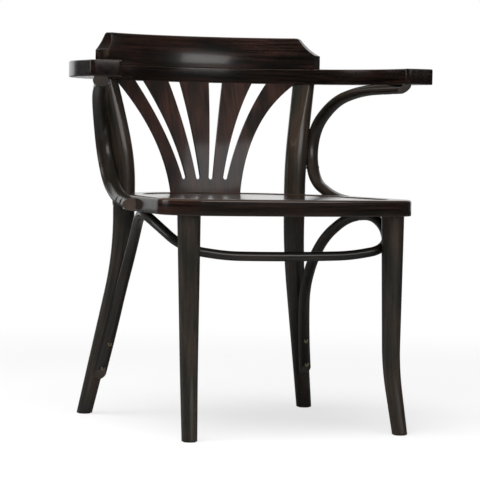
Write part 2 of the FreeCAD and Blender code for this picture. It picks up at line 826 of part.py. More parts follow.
def make_rear_leg(word, side):
    """Leg and back post in one bent piece, with a flat on its inner side and a tenon on top."""
    bottom = size("glide_height")
    seat = size("seat_top") - size("rim_height")
    top = size("bow_bottom")
    marks = heights_of(bottom, top, ("rear_knee", "rear_knee_reach"), ("rear_waist", "rear_waist_reach"))
    circles = []
    for number, height in enumerate(marks):
        x, y = rear_leg_centre(side, height)
        if height <= seat:
            low, high, share = "rear_foot_radius", "rear_leg_radius", height / seat
        else:
            low, high = "rear_leg_radius", "rear_top_radius"
            share = (height - seat) / (top - seat)
        radius = f"Sheet.{low} + (Sheet.{high} - Sheet.{low}) * {share:.4f}"
        circles.append(station(f"rear_{word}_{number}", x, y, str(height), radius))
    shaft = loft(f"rear_{word}_shaft", circles)
    doc.recompute()
    head = circles[-1].Placement.Base
    waist = circles[-2].Placement.Base
    inward = Vector(-side, -1, 0).normalize()
    radius = size("rear_top_radius")
    # the flat is a plane from the leg's face at its foot to facet_depth inside it at the top
    share = (size("facet_foot") - waist.z) / (head.z - waist.z)
    foot = waist + (head - waist) * share + inward * radius
    crown = head + inward * (radius - size("facet_depth"))
    upward = (crown - foot).normalize()
    across = inward.cross(upward).normalize()
    outward = upward.cross(across).normalize()
    edge = f"{FLAT_SHARE} * Sheet.rear_top_radius"
    flat = block(f"rear_{word}_flat", edge, crown, upward, across, -outward)
    faced = cut(f"rear_{word}_faced", shaft, [flat])
    tenon = rod(
        f"rear_{word}_tenon", "Sheet.rear_tenon_radius", "Sheet.rear_tenon_length", head, UP
    )
    return faced, tenon, circles[0].Placement.Base


# Back and arms


def make_bow():
    """The U-shaped bow: a half circle inside, a three-centred curve outside, straight arms."""
    body = new_body("arm_bow_blank")
    bind(body, Placement__Base__y="-Sheet.bow_centre", Placement__Base__z="Sheet.bow_bottom")
    plan = new_sketch(body, "bow_plan")
    inner = size("bow_inner_radius")
    wide = size("bow_half_width")
    back = size("bow_back_radius")
    shift = size("bow_back_shift")
    # each side arc touches the arm's outer face level with the bow's centre, and the back arc
    side_x = (shift**2 - (back - wide) ** 2) / (2 * (back - wide))
    side = wide - side_x
    meet = angle_of(side_x, shift)
    print("bow side arcs of radius", round(side, 1), "meet the back arc at", round(meet, 1))
    tip_in, tip_out = -size("arm_inner_reach"), -size("arm_outer_reach")
    inner_arc = add_arc(plan, (0, 0), inner, 0, 180)
    right_in = add_line(plan, (inner, tip_in), (inner, 0))
    left_in = add_line(plan, (-inner, 0), (-inner, tip_in))
    right_tip = add_line(plan, (inner, tip_in), (wide, tip_out))
    left_tip = add_line(plan, (-inner, tip_in), (-wide, tip_out))
    right_out = add_line(plan, (wide, tip_out), (wide, 0))
    left_out = add_line(plan, (-wide, 0), (-wide, tip_out))
    right_arc = add_arc(plan, (side_x, 0), side, 0, meet)
    left_arc = add_arc(plan, (-side_x, 0), side, 180 - meet, 180)
    back_arc = add_arc(plan, (0, -shift), back, meet, 180 - meet)
    for joint in (
        (right_in, END, inner_arc, START),
        (inner_arc, END, left_in, START),
        (right_out, END, right_arc, START),
        (right_arc, END, back_arc, START),
        (back_arc, END, left_arc, START),
        (left_arc, END, left_out, START),
    ):
        rule(plan, "Tangent", *joint)
    for joint in (
        (right_in, START, right_tip, START),
        (right_tip, END, right_out, START),
        (left_in, END, left_tip, START),
        (left_tip, END, left_out, END),
        (inner_arc, CENTRE, *ORIGIN),
    ):
        rule(plan, "Coincident", *joint)
    for line in (right_in, left_in, right_out, left_out):
        rule(plan, "Vertical", line)
    rule(plan, "PointOnObject", right_arc, CENTRE, ACROSS)
    rule(plan, "PointOnObject", left_arc, CENTRE, ACROSS)
    rule(plan, "PointOnObject", back_arc, CENTRE, UPRIGHT)
    rule(plan, "Horizontal", left_in, END, right_in, START)
    rule(plan, "Symmetric", left_out, END, right_out, START, UPRIGHT)
    for name, expression, constraint in (
        ("inner_radius", "Sheet.bow_inner_radius", ("Radius", inner_arc, inner)),
        ("half_width", "Sheet.bow_half_width", ("DistanceX", *ORIGIN, right_out, START, wide)),
        ("back_radius", "Sheet.bow_back_radius", ("Radius", back_arc, back)),
        ("back_shift", "Sheet.bow_back_shift", ("DistanceY", back_arc, CENTRE, *ORIGIN, shift)),
        ("inner_reach", "Sheet.arm_inner_reach", ("DistanceY", right_in, START, *ORIGIN, -tip_in)),
        ("outer_reach", "Sheet.arm_outer_reach", ("DistanceY", right_out, START, *ORIGIN, -tip_out)),
    ):
        name_size(plan, name, expression, Sketcher.Constraint(*constraint))
    pad = add_pad(body, "bow_pad", plan, "Sheet.bow_height")
    corners = [
        edge
        for edge in pad.Shape.Edges
        if edge.BoundBox.ZLength > TOUCH and edge.BoundBox.YMax < tip_out / 2
    ]
    ends = body.newObject("PartDesign::Fillet", "arm_ends")
    ends.Base = (pad, edge_names(pad, corners))
    bind(ends, Radius="Sheet.arm_corner_radius")
    doc.recompute()
    upper = add_fillet(body, "bow_upper_edge", ends, size("bow_height"), "Sheet.bow_edge")
    add_fillet(body, "bow_lower_edge", upper, 0, "Sheet.bow_edge")
    return body


def make_crest():
    """A section turned about the bow's centre, with a scoop cut out of both ends."""
    body = new_body("crest_rail_blank")
    above = "Sheet.bow_bottom + Sheet.bow_height"
    bind(body, Placement__Base__y="-Sheet.bow_centre", Placement__Base__z=above)
    inner, outer = size("bow_inner_radius"), size("crest_back_radius")
    high, ease = size("crest_height"), size("crest_edge")
    leaning = size("crest_front_radius")
    pivot = inner + leaning
    ease_x = pivot - math.sqrt((leaning - ease) ** 2 - (high - ease) ** 2)
    turn = angle_of(ease_x - pivot, high - ease)
    touch_x = pivot + leaning * math.cos(math.radians(turn))
    touch_y = leaning * math.sin(math.radians(turn))
    section = new_sketch(body, "crest_section", role="YZ_Plane")
    floor = add_line(section, (inner, 0), (outer, 0))
    rear = add_line(section, (outer, 0), (outer, high - ease))
    rear_ease = add_arc(section, (outer - ease, high - ease), ease, 0, 90)
    crown = add_line(section, (outer - ease, high), (ease_x, high))
    front_ease = add_arc(section, (ease_x, high - ease), ease, 90, turn)
    front = add_arc(section, (pivot, 0), leaning, turn, 180)
    print("crest front leans back to", round(touch_x - inner, 1), "at", round(touch_y, 1))
    rule(section, "Coincident", floor, END, rear, START)
    rule(section, "Tangent", rear, END, rear_ease, START)
    rule(section, "Tangent", rear_ease, END, crown, START)
    rule(section, "Tangent", crown, END, front_ease, START)
    rule(section, "Tangent", front_ease, END, front, START)
    rule(section, "Coincident", front, END, floor, START)
    rule(section, "Horizontal", floor)
    rule(section, "Horizontal", crown)
    rule(section, "Vertical", rear)
    rule(section, "PointOnObject", floor, START, ACROSS)
    rule(section, "PointOnObject", front, CENTRE, ACROSS)
    rule(section, "Equal", rear_ease, front_ease)
    for name, expression, constraint in (
        ("inner", "Sheet.bow_inner_radius", ("DistanceX", *ORIGIN, floor, START, inner)),
        ("outer", "Sheet.crest_back_radius", ("DistanceX", *ORIGIN, floor, END, outer)),
        ("high", "Sheet.crest_height", ("DistanceY", *ORIGIN, crown, END, high)),
        ("ease", "Sheet.crest_edge", ("Radius", rear_ease, ease)),
        ("leaning", "Sheet.crest_front_radius", ("Radius", front, leaning)),
    ):
        name_size(section, name, expression, Sketcher.Constraint(*constraint))
    turned = body.newObject("PartDesign::Revolution", "crest_turn")
    turned.Profile = section
    turned.ReferenceAxis = (section, ["V_Axis"])
    bind(turned, Angle="2 * Sheet.crest_half_angle")
    turned.Midplane = True
    doc.recompute()

    # the scoop is drawn looking along the corner's own direction, and cut outwards only
    scoop = new_sketch(body, "scoop_profile", role="XZ_Plane")
    corner_way = Rotation(Vector(0, 1, 0), -size("scoop_angle"))
    scoop.AttachmentOffset = Placement(Vector(0, 0, 0), corner_way)
    half, ear = size("scoop_half_width"), size("crest_ear_height")
    convex, bend = size("scoop_round"), size("scoop_turn")
    over, far = high + convex, 3 * half
    sine, cosine = math.sin(math.radians(bend)), math.cos(math.radians(bend))
    knee = (-half + convex * sine, high - convex + convex * cosine)
    fall = angle_of(half - knee[0], knee[1] - ear)
    run = math.hypot(half - knee[0], knee[1] - ear)
    hollow = run / (2 * math.sin(math.radians(bend - fall)))
    middle = (knee[0] + hollow * sine, knee[1] + hollow * cosine)
    first = angle_of(knee[0] - middle[0], knee[1] - middle[1])
    last = angle_of(half - middle[0], ear - middle[1])
    print("scoop hollow radius", round(hollow, 1))
    round_arc = add_arc(scoop, (-half, high - convex), convex, 90 - bend, 90)
    hollow_arc = add_arc(scoop, middle, hollow, first, last)
    ledge = add_line(scoop, (half, ear), (far, ear))
    wall = add_line(scoop, (far, ear), (far, over))
    roof = add_line(scoop, (far, over), (-half, over))
    drop = add_line(scoop, (-half, over), (-half, high))
    rule(scoop, "Tangent", round_arc, START, hollow_arc, START)
    for joint in (
        (hollow_arc, END, ledge, START),
        (ledge, END, wall, START),
        (wall, END, roof, START),
        (roof, END, drop, START),
        (drop, END, round_arc, END),
    ):
        rule(scoop, "Coincident", *joint)
    for line in (ledge, roof):
        rule(scoop, "Horizontal", line)
    for line in (wall, drop):
        rule(scoop, "Vertical", line)
    rule(scoop, "PointOnObject", round_arc, CENTRE, drop)
    tall = "Sheet.crest_height + Sheet.scoop_round"
    for name, expression, constraint in (
        ("top_half", "Sheet.scoop_half_width", ("DistanceX", drop, END, *ORIGIN, half)),
        ("top_height", "Sheet.crest_height", ("DistanceY", *ORIGIN, drop, END, high)),
        ("ear_half", "Sheet.scoop_half_width", ("DistanceX", *ORIGIN, ledge, START, half)),
        ("ear_height", "Sheet.crest_ear_height", ("DistanceY", *ORIGIN, ledge, START, ear)),
        ("convex", "Sheet.scoop_round", ("Radius", round_arc, convex)),
        ("reach", "3 * Sheet.scoop_half_width", ("DistanceX", *ORIGIN, ledge, END, far)),
        ("over", tall, ("DistanceY", *ORIGIN, roof, END, over)),
    ):
        name_size(scoop, name, expression, Sketcher.Constraint(*constraint))
    right = body.newObject("PartDesign::Pocket", "scoop_right")
    right.Profile = scoop
    bind(right, Length="2 * Sheet.crest_back_radius")
    doc.recompute()
    check_cut("crest", turned.Shape.Volume, right.Shape.Volume)
    both = body.newObject("PartDesign::Mirrored", "scoop_both")
    both.Originals = [right]
    both.MirrorPlane = (own_plane(body, "YZ_Plane"), [""])
    body.Tip = both
    doc.recompute()
    check_cut("crest again", right.Shape.Volume, both.Shape.Volume)
    return body


# Back splat


def pin(sketch, name, geometry, end, x, z):
    """Ties a point of a front view to two expressions: both are distances from the origin."""
    name_size(
        sketch,
        name + "_x",
        x,
        Sketcher.Constraint("DistanceX", *ORIGIN, geometry, end, sheet_value(x)),
    )
    name_size(
        sketch,
        name + "_z",
        z,
        Sketcher.Constraint("DistanceY", *ORIGIN, geometry, end, sheet_value(z)),
    )


def arc_through(sketch, name, points):
    """An arc through three points, each given as two expressions."""
    ends = [Vector(sheet_value(x), sheet_value(z), 0) for x, z in points]
    arc = sketch.addGeometry(Part.Arc(*ends))
    middle = sketch.addGeometry(Part.Point(ends[1]), True)
    rule(sketch, "PointOnObject", middle, START, arc)
    tips = (START, END)
    if (ends[1] - ends[0]).cross(ends[2] - ends[1]).z < 0:
        tips = (END, START)
    pin(sketch, name + "_low", arc, tips[0], *points[0])
    pin(sketch, name + "_middle", middle, START, *points[1])
    pin(sketch, name + "_high", arc, tips[1], *points[2])
    return arc, tips


def make_splat_sheet():
    """The curved sheet of plywood: arc bands at three heights, lofted."""
    body = new_body("splat_sheet")
    sections = []
    for word, height in (
        ("foot", "Sheet.splat_foot"),
        ("waist", "(Sheet.splat_foot + Sheet.splat_head) / 2"),
        ("head", "Sheet.splat_head"),
    ):
        radius = size(f"splat_{word}_radius")
        front = size(f"splat_{word}_y")
        thick = size("splat_thickness")
        half = size("splat_sheet_half")
        spread = math.degrees(math.asin(half / radius))
        sketch = new_sketch(body, f"splat_{word}_section", offset=height)
        pivot = (0, front - radius)
        near = add_arc(sketch, pivot, radius, 90 - spread, 90 + spread)
        far = add_arc(sketch, pivot, radius + thick, 90 - spread, 90 + spread)
        reach = radius + thick
        lines = []
        for side in (1, -1):
            tilt = math.radians(spread) * side
            inner = (radius * math.sin(tilt), pivot[1] + radius * math.cos(tilt))
            outer = (reach * math.sin(tilt), pivot[1] + reach * math.cos(tilt))
            lines.append(add_line(sketch, inner, outer))
        right, left = lines
        for joint in (
            (near, START, right, START),
            (far, START, right, END),
            (near, END, left, START),
            (far, END, left, END),
            (near, CENTRE, far, CENTRE),
        ):
            rule(sketch, "Coincident", *joint)
        rule(sketch, "PointOnObject", near, CENTRE, UPRIGHT)
        rule(sketch, "Horizontal", near, START, near, END)
        rule(sketch, "Horizontal", far, START, far, END)
        for name, expression, constraint in (
            ("radius", f"Sheet.splat_{word}_radius", ("Radius", near, radius)),
            (
                "back_radius",
                f"Sheet.splat_{word}_radius + Sheet.splat_thickness",
                ("Radius", far, reach),
            ),
            (
                "centre",
                f"Sheet.splat_{word}_radius - Sheet.splat_{word}_y",
                ("DistanceY", near, CENTRE, *ORIGIN, radius - front),
            ),
            ("half", "Sheet.splat_sheet_half", ("DistanceX", *ORIGIN, near, START, half)),
            (
                "back_half",
                f"Sheet.splat_sheet_half * (1 + Sheet.splat_thickness / Sheet.splat_{word}_radius)",
                ("DistanceX", *ORIGIN, far, START, half * reach / radius),
            ),
        ):
            name_size(sketch, name, expression, Sketcher.Constraint(*constraint))
        sections.append(sketch)
    form = body.newObject("PartDesign::AdditiveLoft", "splat_loft")
    form.Profile = sections[0]
    form.Sections = sections[1:]
    doc.recompute()
    return body


def make_splat():
    """Moulded plywood: the curved sheet, trimmed from the front to a fan with four slots."""
    body = new_body("splat_fan")
    outline = new_sketch(body, "fan_outline", role="XZ_Plane")
    seat, bow = "Sheet.seat_top", "Sheet.bow_bottom"
    foot, head = "Sheet.splat_foot", "Sheet.splat_head"
    corners = {
        "narrow": ("Sheet.splat_foot_half", seat),
        "wide": ("Sheet.splat_head_half", bow),
        "tongue_top": ("Sheet.splat_head_half - Sheet.tongue_step", bow),
        "tongue_head": ("Sheet.splat_head_half - Sheet.tongue_step", head),
        "tongue_bottom": ("Sheet.splat_foot_half - Sheet.tongue_step", seat),
        "tongue_foot": ("Sheet.splat_foot_half - Sheet.tongue_step", foot),
    }
    middle = ("Sheet.splat_middle_half", "Sheet.slot_middle")
    edge, tips = arc_through(outline, "edge", (corners["narrow"], middle, corners["wide"]))

    def value(name):
        return tuple(sheet_value(part) for part in corners[name])

    steps = (("wide", "tongue_top", "tongue_head"), ("narrow", "tongue_bottom", "tongue_foot"))
    ends = []
    for tip, (start, turn, end) in zip((tips[1], tips[0]), steps):
        ledge = add_line(outline, value(start), value(turn))
        rise = add_line(outline, value(turn), value(end))
        rule(outline, "Coincident", edge, tip, ledge, START)
        rule(outline, "Coincident", ledge, END, rise, START)
        rule(outline, "Horizontal", ledge)
        rule(outline, "Vertical", rise)
        pin(outline, end, rise, END, *corners[end])
        ends.append((rise, value(end)))
    middle_line = add_line(outline, (0, ends[1][1][1]), (0, ends[0][1][1]))
    for (rise, at), tip in zip(ends, (END, START)):
        across = add_line(outline, at, (0, at[1]))
        rule(outline, "Coincident", rise, END, across, START)
        rule(outline, "Coincident", across, END, middle_line, tip)
        rule(outline, "Horizontal", across)
    rule(outline, "PointOnObject", middle_line, START, UPRIGHT)
    rule(outline, "PointOnObject", middle_line, END, UPRIGHT)
    half = body.newObject("PartDesign::Pad", "fan_half")
    half.Profile = outline
    half.Midplane = True
    bind(half, Length="2 * Sheet.crest_back_radius")
    slots = new_sketch(body, "fan_slots", role="XZ_Plane")
    for word in ("inner", "outer"):
        add_slot(slots, word)
    doc.recompute()
    pierced = body.newObject("PartDesign::Pocket", "fan_pierced")
    pierced.Profile = slots
    pierced.Midplane = True
    pierced.Type = "ThroughAll"
    doc.recompute()
    check_cut("splat", half.Shape.Volume, pierced.Shape.Volume)
    whole = body.newObject("PartDesign::Mirrored", "fan_whole")
    whole.Originals = [half, pierced]
    whole.MirrorPlane = (own_plane(body, "YZ_Plane"), [""])
    body.Tip = whole
    doc.recompute()
    ply = make_splat_sheet()
    splat = doc.addObject("Part::MultiCommon", "back_splat")
    splat.Label = "back_splat"
    splat.Shapes = [ply, body]
    doc.recompute()
    return splat


def add_slot(sketch, word):
    """One slot: two long arcs, a round bottom, and a flat top that the bow covers."""
    top = "Sheet.bow_bottom"
    heel = "Sheet.slot_foot + Sheet.slot_foot_half"
    arcs = []
    for edge, sign in (("in", "-"), ("out", "+")):
        points = (
            (f"Sheet.slot_{word}_foot {sign} Sheet.slot_foot_half", heel),
            (f"Sheet.slot_{word}_middle {sign} Sheet.slot_middle_half", "Sheet.slot_middle"),
            (f"Sheet.slot_{word}_head {sign} Sheet.slot_{word}_head_half", top),
        )
        arcs.append((arc_through(sketch, f"{word}_{edge}", points), points))
    (inner, inner_tips), inner_points = arcs[0]
    (outer, outer_tips), outer_points = arcs[1]
    pivot = (size(f"slot_{word}_foot"), sheet_value(heel))
    bottom = add_arc(sketch, pivot, size("slot_foot_half"), 180, 360)
    rule(sketch, "Coincident", bottom, START, inner, inner_tips[0])
    rule(sketch, "Coincident", bottom, END, outer, outer_tips[0])
    name_size(
        sketch,
        f"{word}_bottom",
        heel,
        Sketcher.Constraint("DistanceY", *ORIGIN, bottom, CENTRE, pivot[1]),
    )
    lid = add_line(
        sketch,
        [sheet_value(part) for part in inner_points[2]],
        [sheet_value(part) for part in outer_points[2]],
    )
    rule(sketch, "Coincident", lid, START, inner, inner_tips[1])
    rule(sketch, "Coincident", lid, END, outer, outer_tips[1])


# Bent rods


def make_support(word, side):
    """An oval rod bent to a C, with both ends cut off at a slant."""
    points = route_points("support", len(SUPPORT_ROUTE), side)
    section = doc.addObject("Part::Ellipse", f"support_{word}_section")
    bind(section, MajorRadius="Sheet.support_width / 2", MinorRadius="Sheet.support_thickness / 2")
    start = (points[1] - points[0]).normalize()
    level = start.cross(UP).normalize()
    upward = start.cross(level) * -1
    section.Placement = Placement(points[0], Rotation(level, upward, start, "ZXY"))
    path = bent_path(f"support_{word}_path", points)
    bent = sweep(f"support_{word}_rod", [section], path)
    end = (points[-1] - points[-2]).normalize()
    down, out = UP * -1, Vector(side, 0, 0)
    wide = size("support_width")
    top_back, end_back = TOP_CUT_SHARE * wide, wide / 2
    trims = [
        slant(f"support_{word}_top_cut", points[0], start * -1, down, top_back, "support_width"),
        slant(f"support_{word}_end_cut", points[-1], end, out, end_back, "support_width"),
    ]
    return bent, path, trims


def make_hoop():
    """One round rod: up from a rear leg, under the seat, round the front legs and back.

    It tapers from its screwed ends up to the bend behind each front leg.
    """
    points = route_points("hoop", len(HOOP_ROUTE), 1)
    points += list(reversed(route_points("hoop", len(HOOP_ROUTE), -1)))
    path = bent_path("hoop_path", points)
    edges = path.Shape.Edges
    thick, slim = "hoop_end_radius", "hoop_radius"
    # a run and an arc for every bend of the taper
    taper = 2 * HOOP_TAPER_BENDS
    pieces = []
    for word, first, last, radii in (
        ("right", 0, taper, (thick, slim)),
        ("front", taper, len(edges) - taper, (slim,)),
        ("left", len(edges) - taper, len(edges), (slim, thick)),
    ):
        ends = ((edges[first], 0), (edges[last - 1], 1))
        sections = [
            section_on(f"hoop_{word}_section_{n}", *end, radius)
            for n, (end, radius) in enumerate(zip(ends, radii))
        ]
        pieces.append(sweep(f"hoop_{word}_rod", sections, path, first, last))
    doc.recompute()
    for piece in pieces:
        print(piece.Name, "volume", round(piece.Shape.Volume), "valid", piece.Shape.isValid())
    trims = []
    for word, side in SIDES:
        end, second = route_points("hoop", 2, side)
        run = (second - end).normalize()
        forward = Vector(0, -1, 0)
        back = size("hoop_end_radius")
        trims.append(slant(f"hoop_{word}_cut", end, run * -1, forward, back, "hoop_end_radius"))
    return fuse("hoop_blank", pieces), path, trims


# The chair


def assemble():
    """Makes every piece, places the fasteners where the pieces meet and cuts the holes."""
    fill_sheet()
    splat = make_splat()
    rim, panel = make_seat()
    bow = make_bow()
    crest = make_crest()
    front = {word: make_front_leg(word, side) for word, side in SIDES}
    rear = {word: make_rear_leg(word, side) for word, side in SIDES}
    supports = {word: make_support(word, side) for word, side in SIDES}
    hoop, hoop_path, hoop_trims = make_hoop()
    doc.recompute()

    # how far the ring's round back lies from the middle line of a rear leg, on the diagonal
    leg = Vector(size("rear_leg_x"), size("rear_leg_y") + size("seat_rear_centre"), 0)
    diagonal = Vector(1, 1, 0).normalize()
    run = leg.dot(diagonal)
    off = (leg - diagonal * run).Length
    ring_gap = run - math.sqrt(size("seat_rear_radius") ** 2 - off**2)
    print("ring to leg", round(ring_gap, 2))
    bolts, leg_holes, ring_holes = make_bolts(ring_gap)

    places = {name: [] for name in SCREWS}

    def add_screw(name, piece, middle, way, length, sink="screw_sink"):
        """A screw through a rod: it starts on the rod's surface and crosses its middle line."""
        places[name].append((skin(piece, middle, way * -1) + way * size(sink), way, length))

    for word, side in SIDES:
        bent, path, _ = supports[word]
        start, turn = route_points("support", 2, side)
        for share in TOP_SCREWS:
            middle = start + (turn - start) * share
            add_screw("arm_support_top_screws", bent, middle, UP, "top_screw_length")
        centre = Vector(side * size("rear_leg_x"), size("rear_leg_y"), 0)
        post = Part.makeLine(
            centre + UP * size("seat_top"), centre + UP * size("post_screw_ceiling")
        )
        here, way = nearest(path, post)
        way = Vector(way.x, way.y, 0).normalize()
        add_screw("arm_support_post_screws", bent, here, way, "post_screw_length")
        last, end = route_points("support", len(SUPPORT_ROUTE), side)[-2:]
        inward = Vector(-side, 0, 0)
        for share in SEAT_SCREWS:
            middle = last + (end - last) * share
            add_screw(
                "arm_support_seat_screws", bent, middle, inward, "seat_screw_length", "side_screw_sink"
            )
        end, second = route_points("hoop", 2, side)
        backward = Vector(0, 1, 0)
        for height in ("brace_screw_low", "brace_screw_high"):
            middle = end + (second - end) * ((size(height) - end.z) / (second.z - end.z))
            add_screw("brace_end_screws", hoop, middle, backward, "brace_screw_length")
        apex, fall = route_points("hoop", len(HOOP_ROUTE), side)[HOOP_CREST : HOOP_CREST + 2]
        add_screw("brace_seat_screws", hoop, (apex + fall) / 2, UP, "brace_screw_length")
        foot, top = front[word][2], front[word][1].Placement.Base
        knee = top + (foot - top) * FRONT_LEG_SHARE
        here, way = nearest(hoop_path, Part.makeLine(top, knee))
        add_screw("brace_front_leg_screws", hoop, here, way, "brace_screw_length")
        crown = rear[word][1].Placement.Base + UP * size("bow_height")
        places["bow_post_screws"].append((crown, UP * -1, "bow_screw_length"))
    made = {name: screws(name, where) for name, where in places.items()}

    dowels = []
    for angle in ("dowel_inner_angle", "dowel_outer_angle"):
        for side in (-1, 1):
            turn = math.radians(side * size(angle))
            circle = size("crest_dowel_circle")
            at = Vector(circle * math.sin(turn), circle * math.cos(turn) - size("bow_centre"), 0)
            at.z = size("bow_bottom") + size("bow_height") - size("crest_dowel_half")
            name = f"crest_dowel_{len(dowels)}"
            dowels.append(
                rod(name, "Sheet.crest_dowel_radius", "2 * Sheet.crest_dowel_half", at, UP)
            )
    compound("crest_dowels", dowels)

    glides, nails = [], {}
    for legs, ends in (("front", front), ("rear", rear)):
        for word, side in SIDES:
            foot = ends[word][2]
            name = f"{legs}_{word}"
            ground = Vector(foot.x, foot.y, 0)
            disc = rod(f"{name}_disc", "Sheet.glide_radius", "Sheet.glide_height", ground, UP)
            under = ground + UP * size("nail_sink")
            nails[name] = rod(f"{name}_nail", "Sheet.nail_radius", "Sheet.nail_length", under, UP)
            bore = rod(f"{name}_bore", "Sheet.nail_radius", "Sheet.nail_length", ground, UP)
            glides.append(cut(f"{name}_glide", disc, [bore]))
    compound("foot_glides", glides)
    compound("glide_nails", list(nails.values()))

    def blanks(name, word):
        """The blanks of one node's screws on one side of the chair."""
        all_blanks = made[name][1]
        half = len(all_blanks) // 2
        return all_blanks[:half] if word == "left" else all_blanks[half:]

    for word, side in SIDES:
        shaft, tenon, foot = front[word]
        whole = fuse(f"front_{word}_whole", [shaft, tenon])
        holes = blanks("brace_front_leg_screws", word) + [nails[f"front_{word}"]]
        cut(f"front_leg_{word}", whole, holes)
        shaft, tenon, foot = rear[word]
        whole = fuse(f"rear_{word}_whole", [shaft, tenon])
        holes = [rim, nails[f"rear_{word}"]] + leg_holes[word]
        for name in ("brace_end_screws", "arm_support_post_screws", "bow_post_screws"):
            holes += blanks(name, word)
        cut(f"rear_leg_{word}", whole, holes)
        bent, path, trims = supports[word]
        holes = trims + [bow, rim, shaft]
        for name in SCREWS[:3]:
            holes += blanks(name, word)
        cut(f"arm_support_{word}", bent, holes)
    holes = hoop_trims + [rim] + [front[word][0] for word, side in SIDES]
    holes += [rear[word][0] for word, side in SIDES]
    for name in ("brace_end_screws", "brace_seat_screws", "brace_front_leg_screws"):
        holes += made[name][1]
    cut("brace_hoop", hoop, holes)
    holes = [splat] + [front[word][1] for word, side in SIDES] + ring_holes
    holes += made["arm_support_seat_screws"][1] + made["brace_seat_screws"][1]
    cut("seat_rim", rim, holes)
    holes = [splat] + [rear[word][1] for word, side in SIDES] + dowels
    holes += made["arm_support_top_screws"][1] + made["bow_post_screws"][1]
    cut("arm_bow", bow, holes)
    cut("crest_rail", crest, dowels)


def hand_over():
    """Checks every object and writes the pieces."""
    doc.recompute()
    for thing in doc.Objects:
        if "Invalid" in thing.State or "Error" in thing.State:
            raise RuntimeError(f"{thing.Name}: {thing.State}")
    for name in NODES:
        piece = doc.getObject(name)
        shape = piece.Shape
        if shape.isNull() or not shape.isValid():
            raise RuntimeError(f"{name}: no valid shape")
        box = shape.BoundBox
        spans = [round(v, 1) for v in (box.XMin, box.XMax, box.YMin, box.YMax, box.ZMin, box.ZMax)]
        print(name, len(shape.Solids), "solids", round(shape.Volume), "mm3", *spans)
        shape.exportStep(f"parts/{name}.step")


assemble()
hand_over()
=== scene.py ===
# %% [markdown]
# # A bentwood bistro armchair
#
# The chair is steamed and bent beech, stained almost black and lacquered to a soft shine. The
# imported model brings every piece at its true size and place. This lesson works out finer
# surfaces for the wooden pieces with numpy, so that the grain can follow every bend, and
# gives each piece its finish.

import json

import bmesh
import bpy
import numpy as np
from mathutils import Matrix, Vector


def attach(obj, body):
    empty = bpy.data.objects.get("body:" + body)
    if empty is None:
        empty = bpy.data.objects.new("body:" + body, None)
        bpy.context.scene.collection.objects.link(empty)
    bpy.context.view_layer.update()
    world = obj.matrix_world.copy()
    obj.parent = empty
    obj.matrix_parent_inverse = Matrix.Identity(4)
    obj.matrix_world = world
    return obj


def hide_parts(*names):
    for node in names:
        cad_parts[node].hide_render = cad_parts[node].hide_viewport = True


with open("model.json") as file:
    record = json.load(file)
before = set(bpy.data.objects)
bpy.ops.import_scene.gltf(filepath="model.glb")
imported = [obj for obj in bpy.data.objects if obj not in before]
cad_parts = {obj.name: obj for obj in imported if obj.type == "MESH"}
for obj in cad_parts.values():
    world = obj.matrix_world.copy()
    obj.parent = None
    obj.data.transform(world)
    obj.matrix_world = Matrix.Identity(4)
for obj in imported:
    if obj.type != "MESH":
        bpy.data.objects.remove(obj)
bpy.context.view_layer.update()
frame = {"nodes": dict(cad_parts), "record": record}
nodes = frame["nodes"]
MM = 0.001
SIDES = (("left", -1), ("right", 1))
print("the model has", len(nodes), "nodes")

# %% [markdown]
# ## The camera
#
# The photograph was taken with a long lens from the chair's left front, a little above the
# seat, and looks slightly down. A long lens far away keeps the legs nearly parallel. Its place
# was worked out from mirrored pairs of points on the chair. The heading, pitch and roll turn
# the camera; the three vectors below are its own axes.

# %% Camera
CAMERA_PLACE = Vector((-2.0749, -4.8255, 0.5974))
CAMERA_HEADING = np.radians(23.221)
CAMERA_PITCH = np.radians(2.467)
CAMERA_ROLL = np.radians(1.07)
LENS_MM = 194.2
SENSOR_MM = 36


def add_object(name, data):
    thing = bpy.data.objects.new(name, data)
    bpy.context.scene.collection.objects.link(thing)
    return thing


def camera_axes(heading, pitch, roll):
    """Right, up and view direction: heading turns from +Y to +X, pitch looks down, then roll."""
    ahead = np.sin(heading) * np.cos(pitch), np.cos(heading) * np.cos(pitch)
    forward = Vector((*ahead, -np.sin(pitch)))
    level = Vector((np.cos(heading), -np.sin(heading), 0))
    upright = level.cross(forward)
    right = level * np.cos(roll) + upright * np.sin(roll)
    up = upright * np.cos(roll) - level * np.sin(roll)
    return right, up, forward


def add_camera():
    lens = bpy.data.cameras.new("camera")
    lens.sensor_width = SENSOR_MM
    lens.lens = LENS_MM
    camera = add_object("camera", lens)
    right, up, forward = camera_axes(CAMERA_HEADING, CAMERA_PITCH, CAMERA_ROLL)
    turn = Matrix((right, up, -forward)).transposed().to_4x4()
    camera.matrix_world = Matrix.Translation(CAMERA_PLACE) @ turn
    bpy.context.scene.camera = camera
    return camera


print("camera at", tuple(round(v, 3) for v in add_camera().location))

# %% [markdown]
# ## Surfaces from formulas
#
# Every wooden piece here is a grid of points: rows run along the piece and columns go round
# its section. The grid is computed as whole arrays, then handed to Blender. Each point also
# carries two attributes: where it lies in the wood (along the grain, across it and through
# it), and how much its edge has been rubbed. The materials read both.

# %% Grid helpers
MERGE_MM = 0.004
SHARP_DEGREES = 35


def unit(vectors):
    return vectors / np.linalg.norm(vectors, axis=-1, keepdims=True)


def distance_along(points):
    """Distance from a line's first point to each of its points."""
    return np.concatenate([[0], np.cumsum(np.linalg.norm(np.diff(points, axis=0), axis=1))])


def mirrored(points, side):
    """Points of the chair's right half, or with side -1 their mirror images."""
    return points * np.array([side, 1, 1])


def smooth_step(x, low, high):
    """0 below low, 1 above high and a smooth cubic between them."""
    t = np.clip((x - low) / (high - low), 0, 1)
    return t * t * (3 - 2 * t)


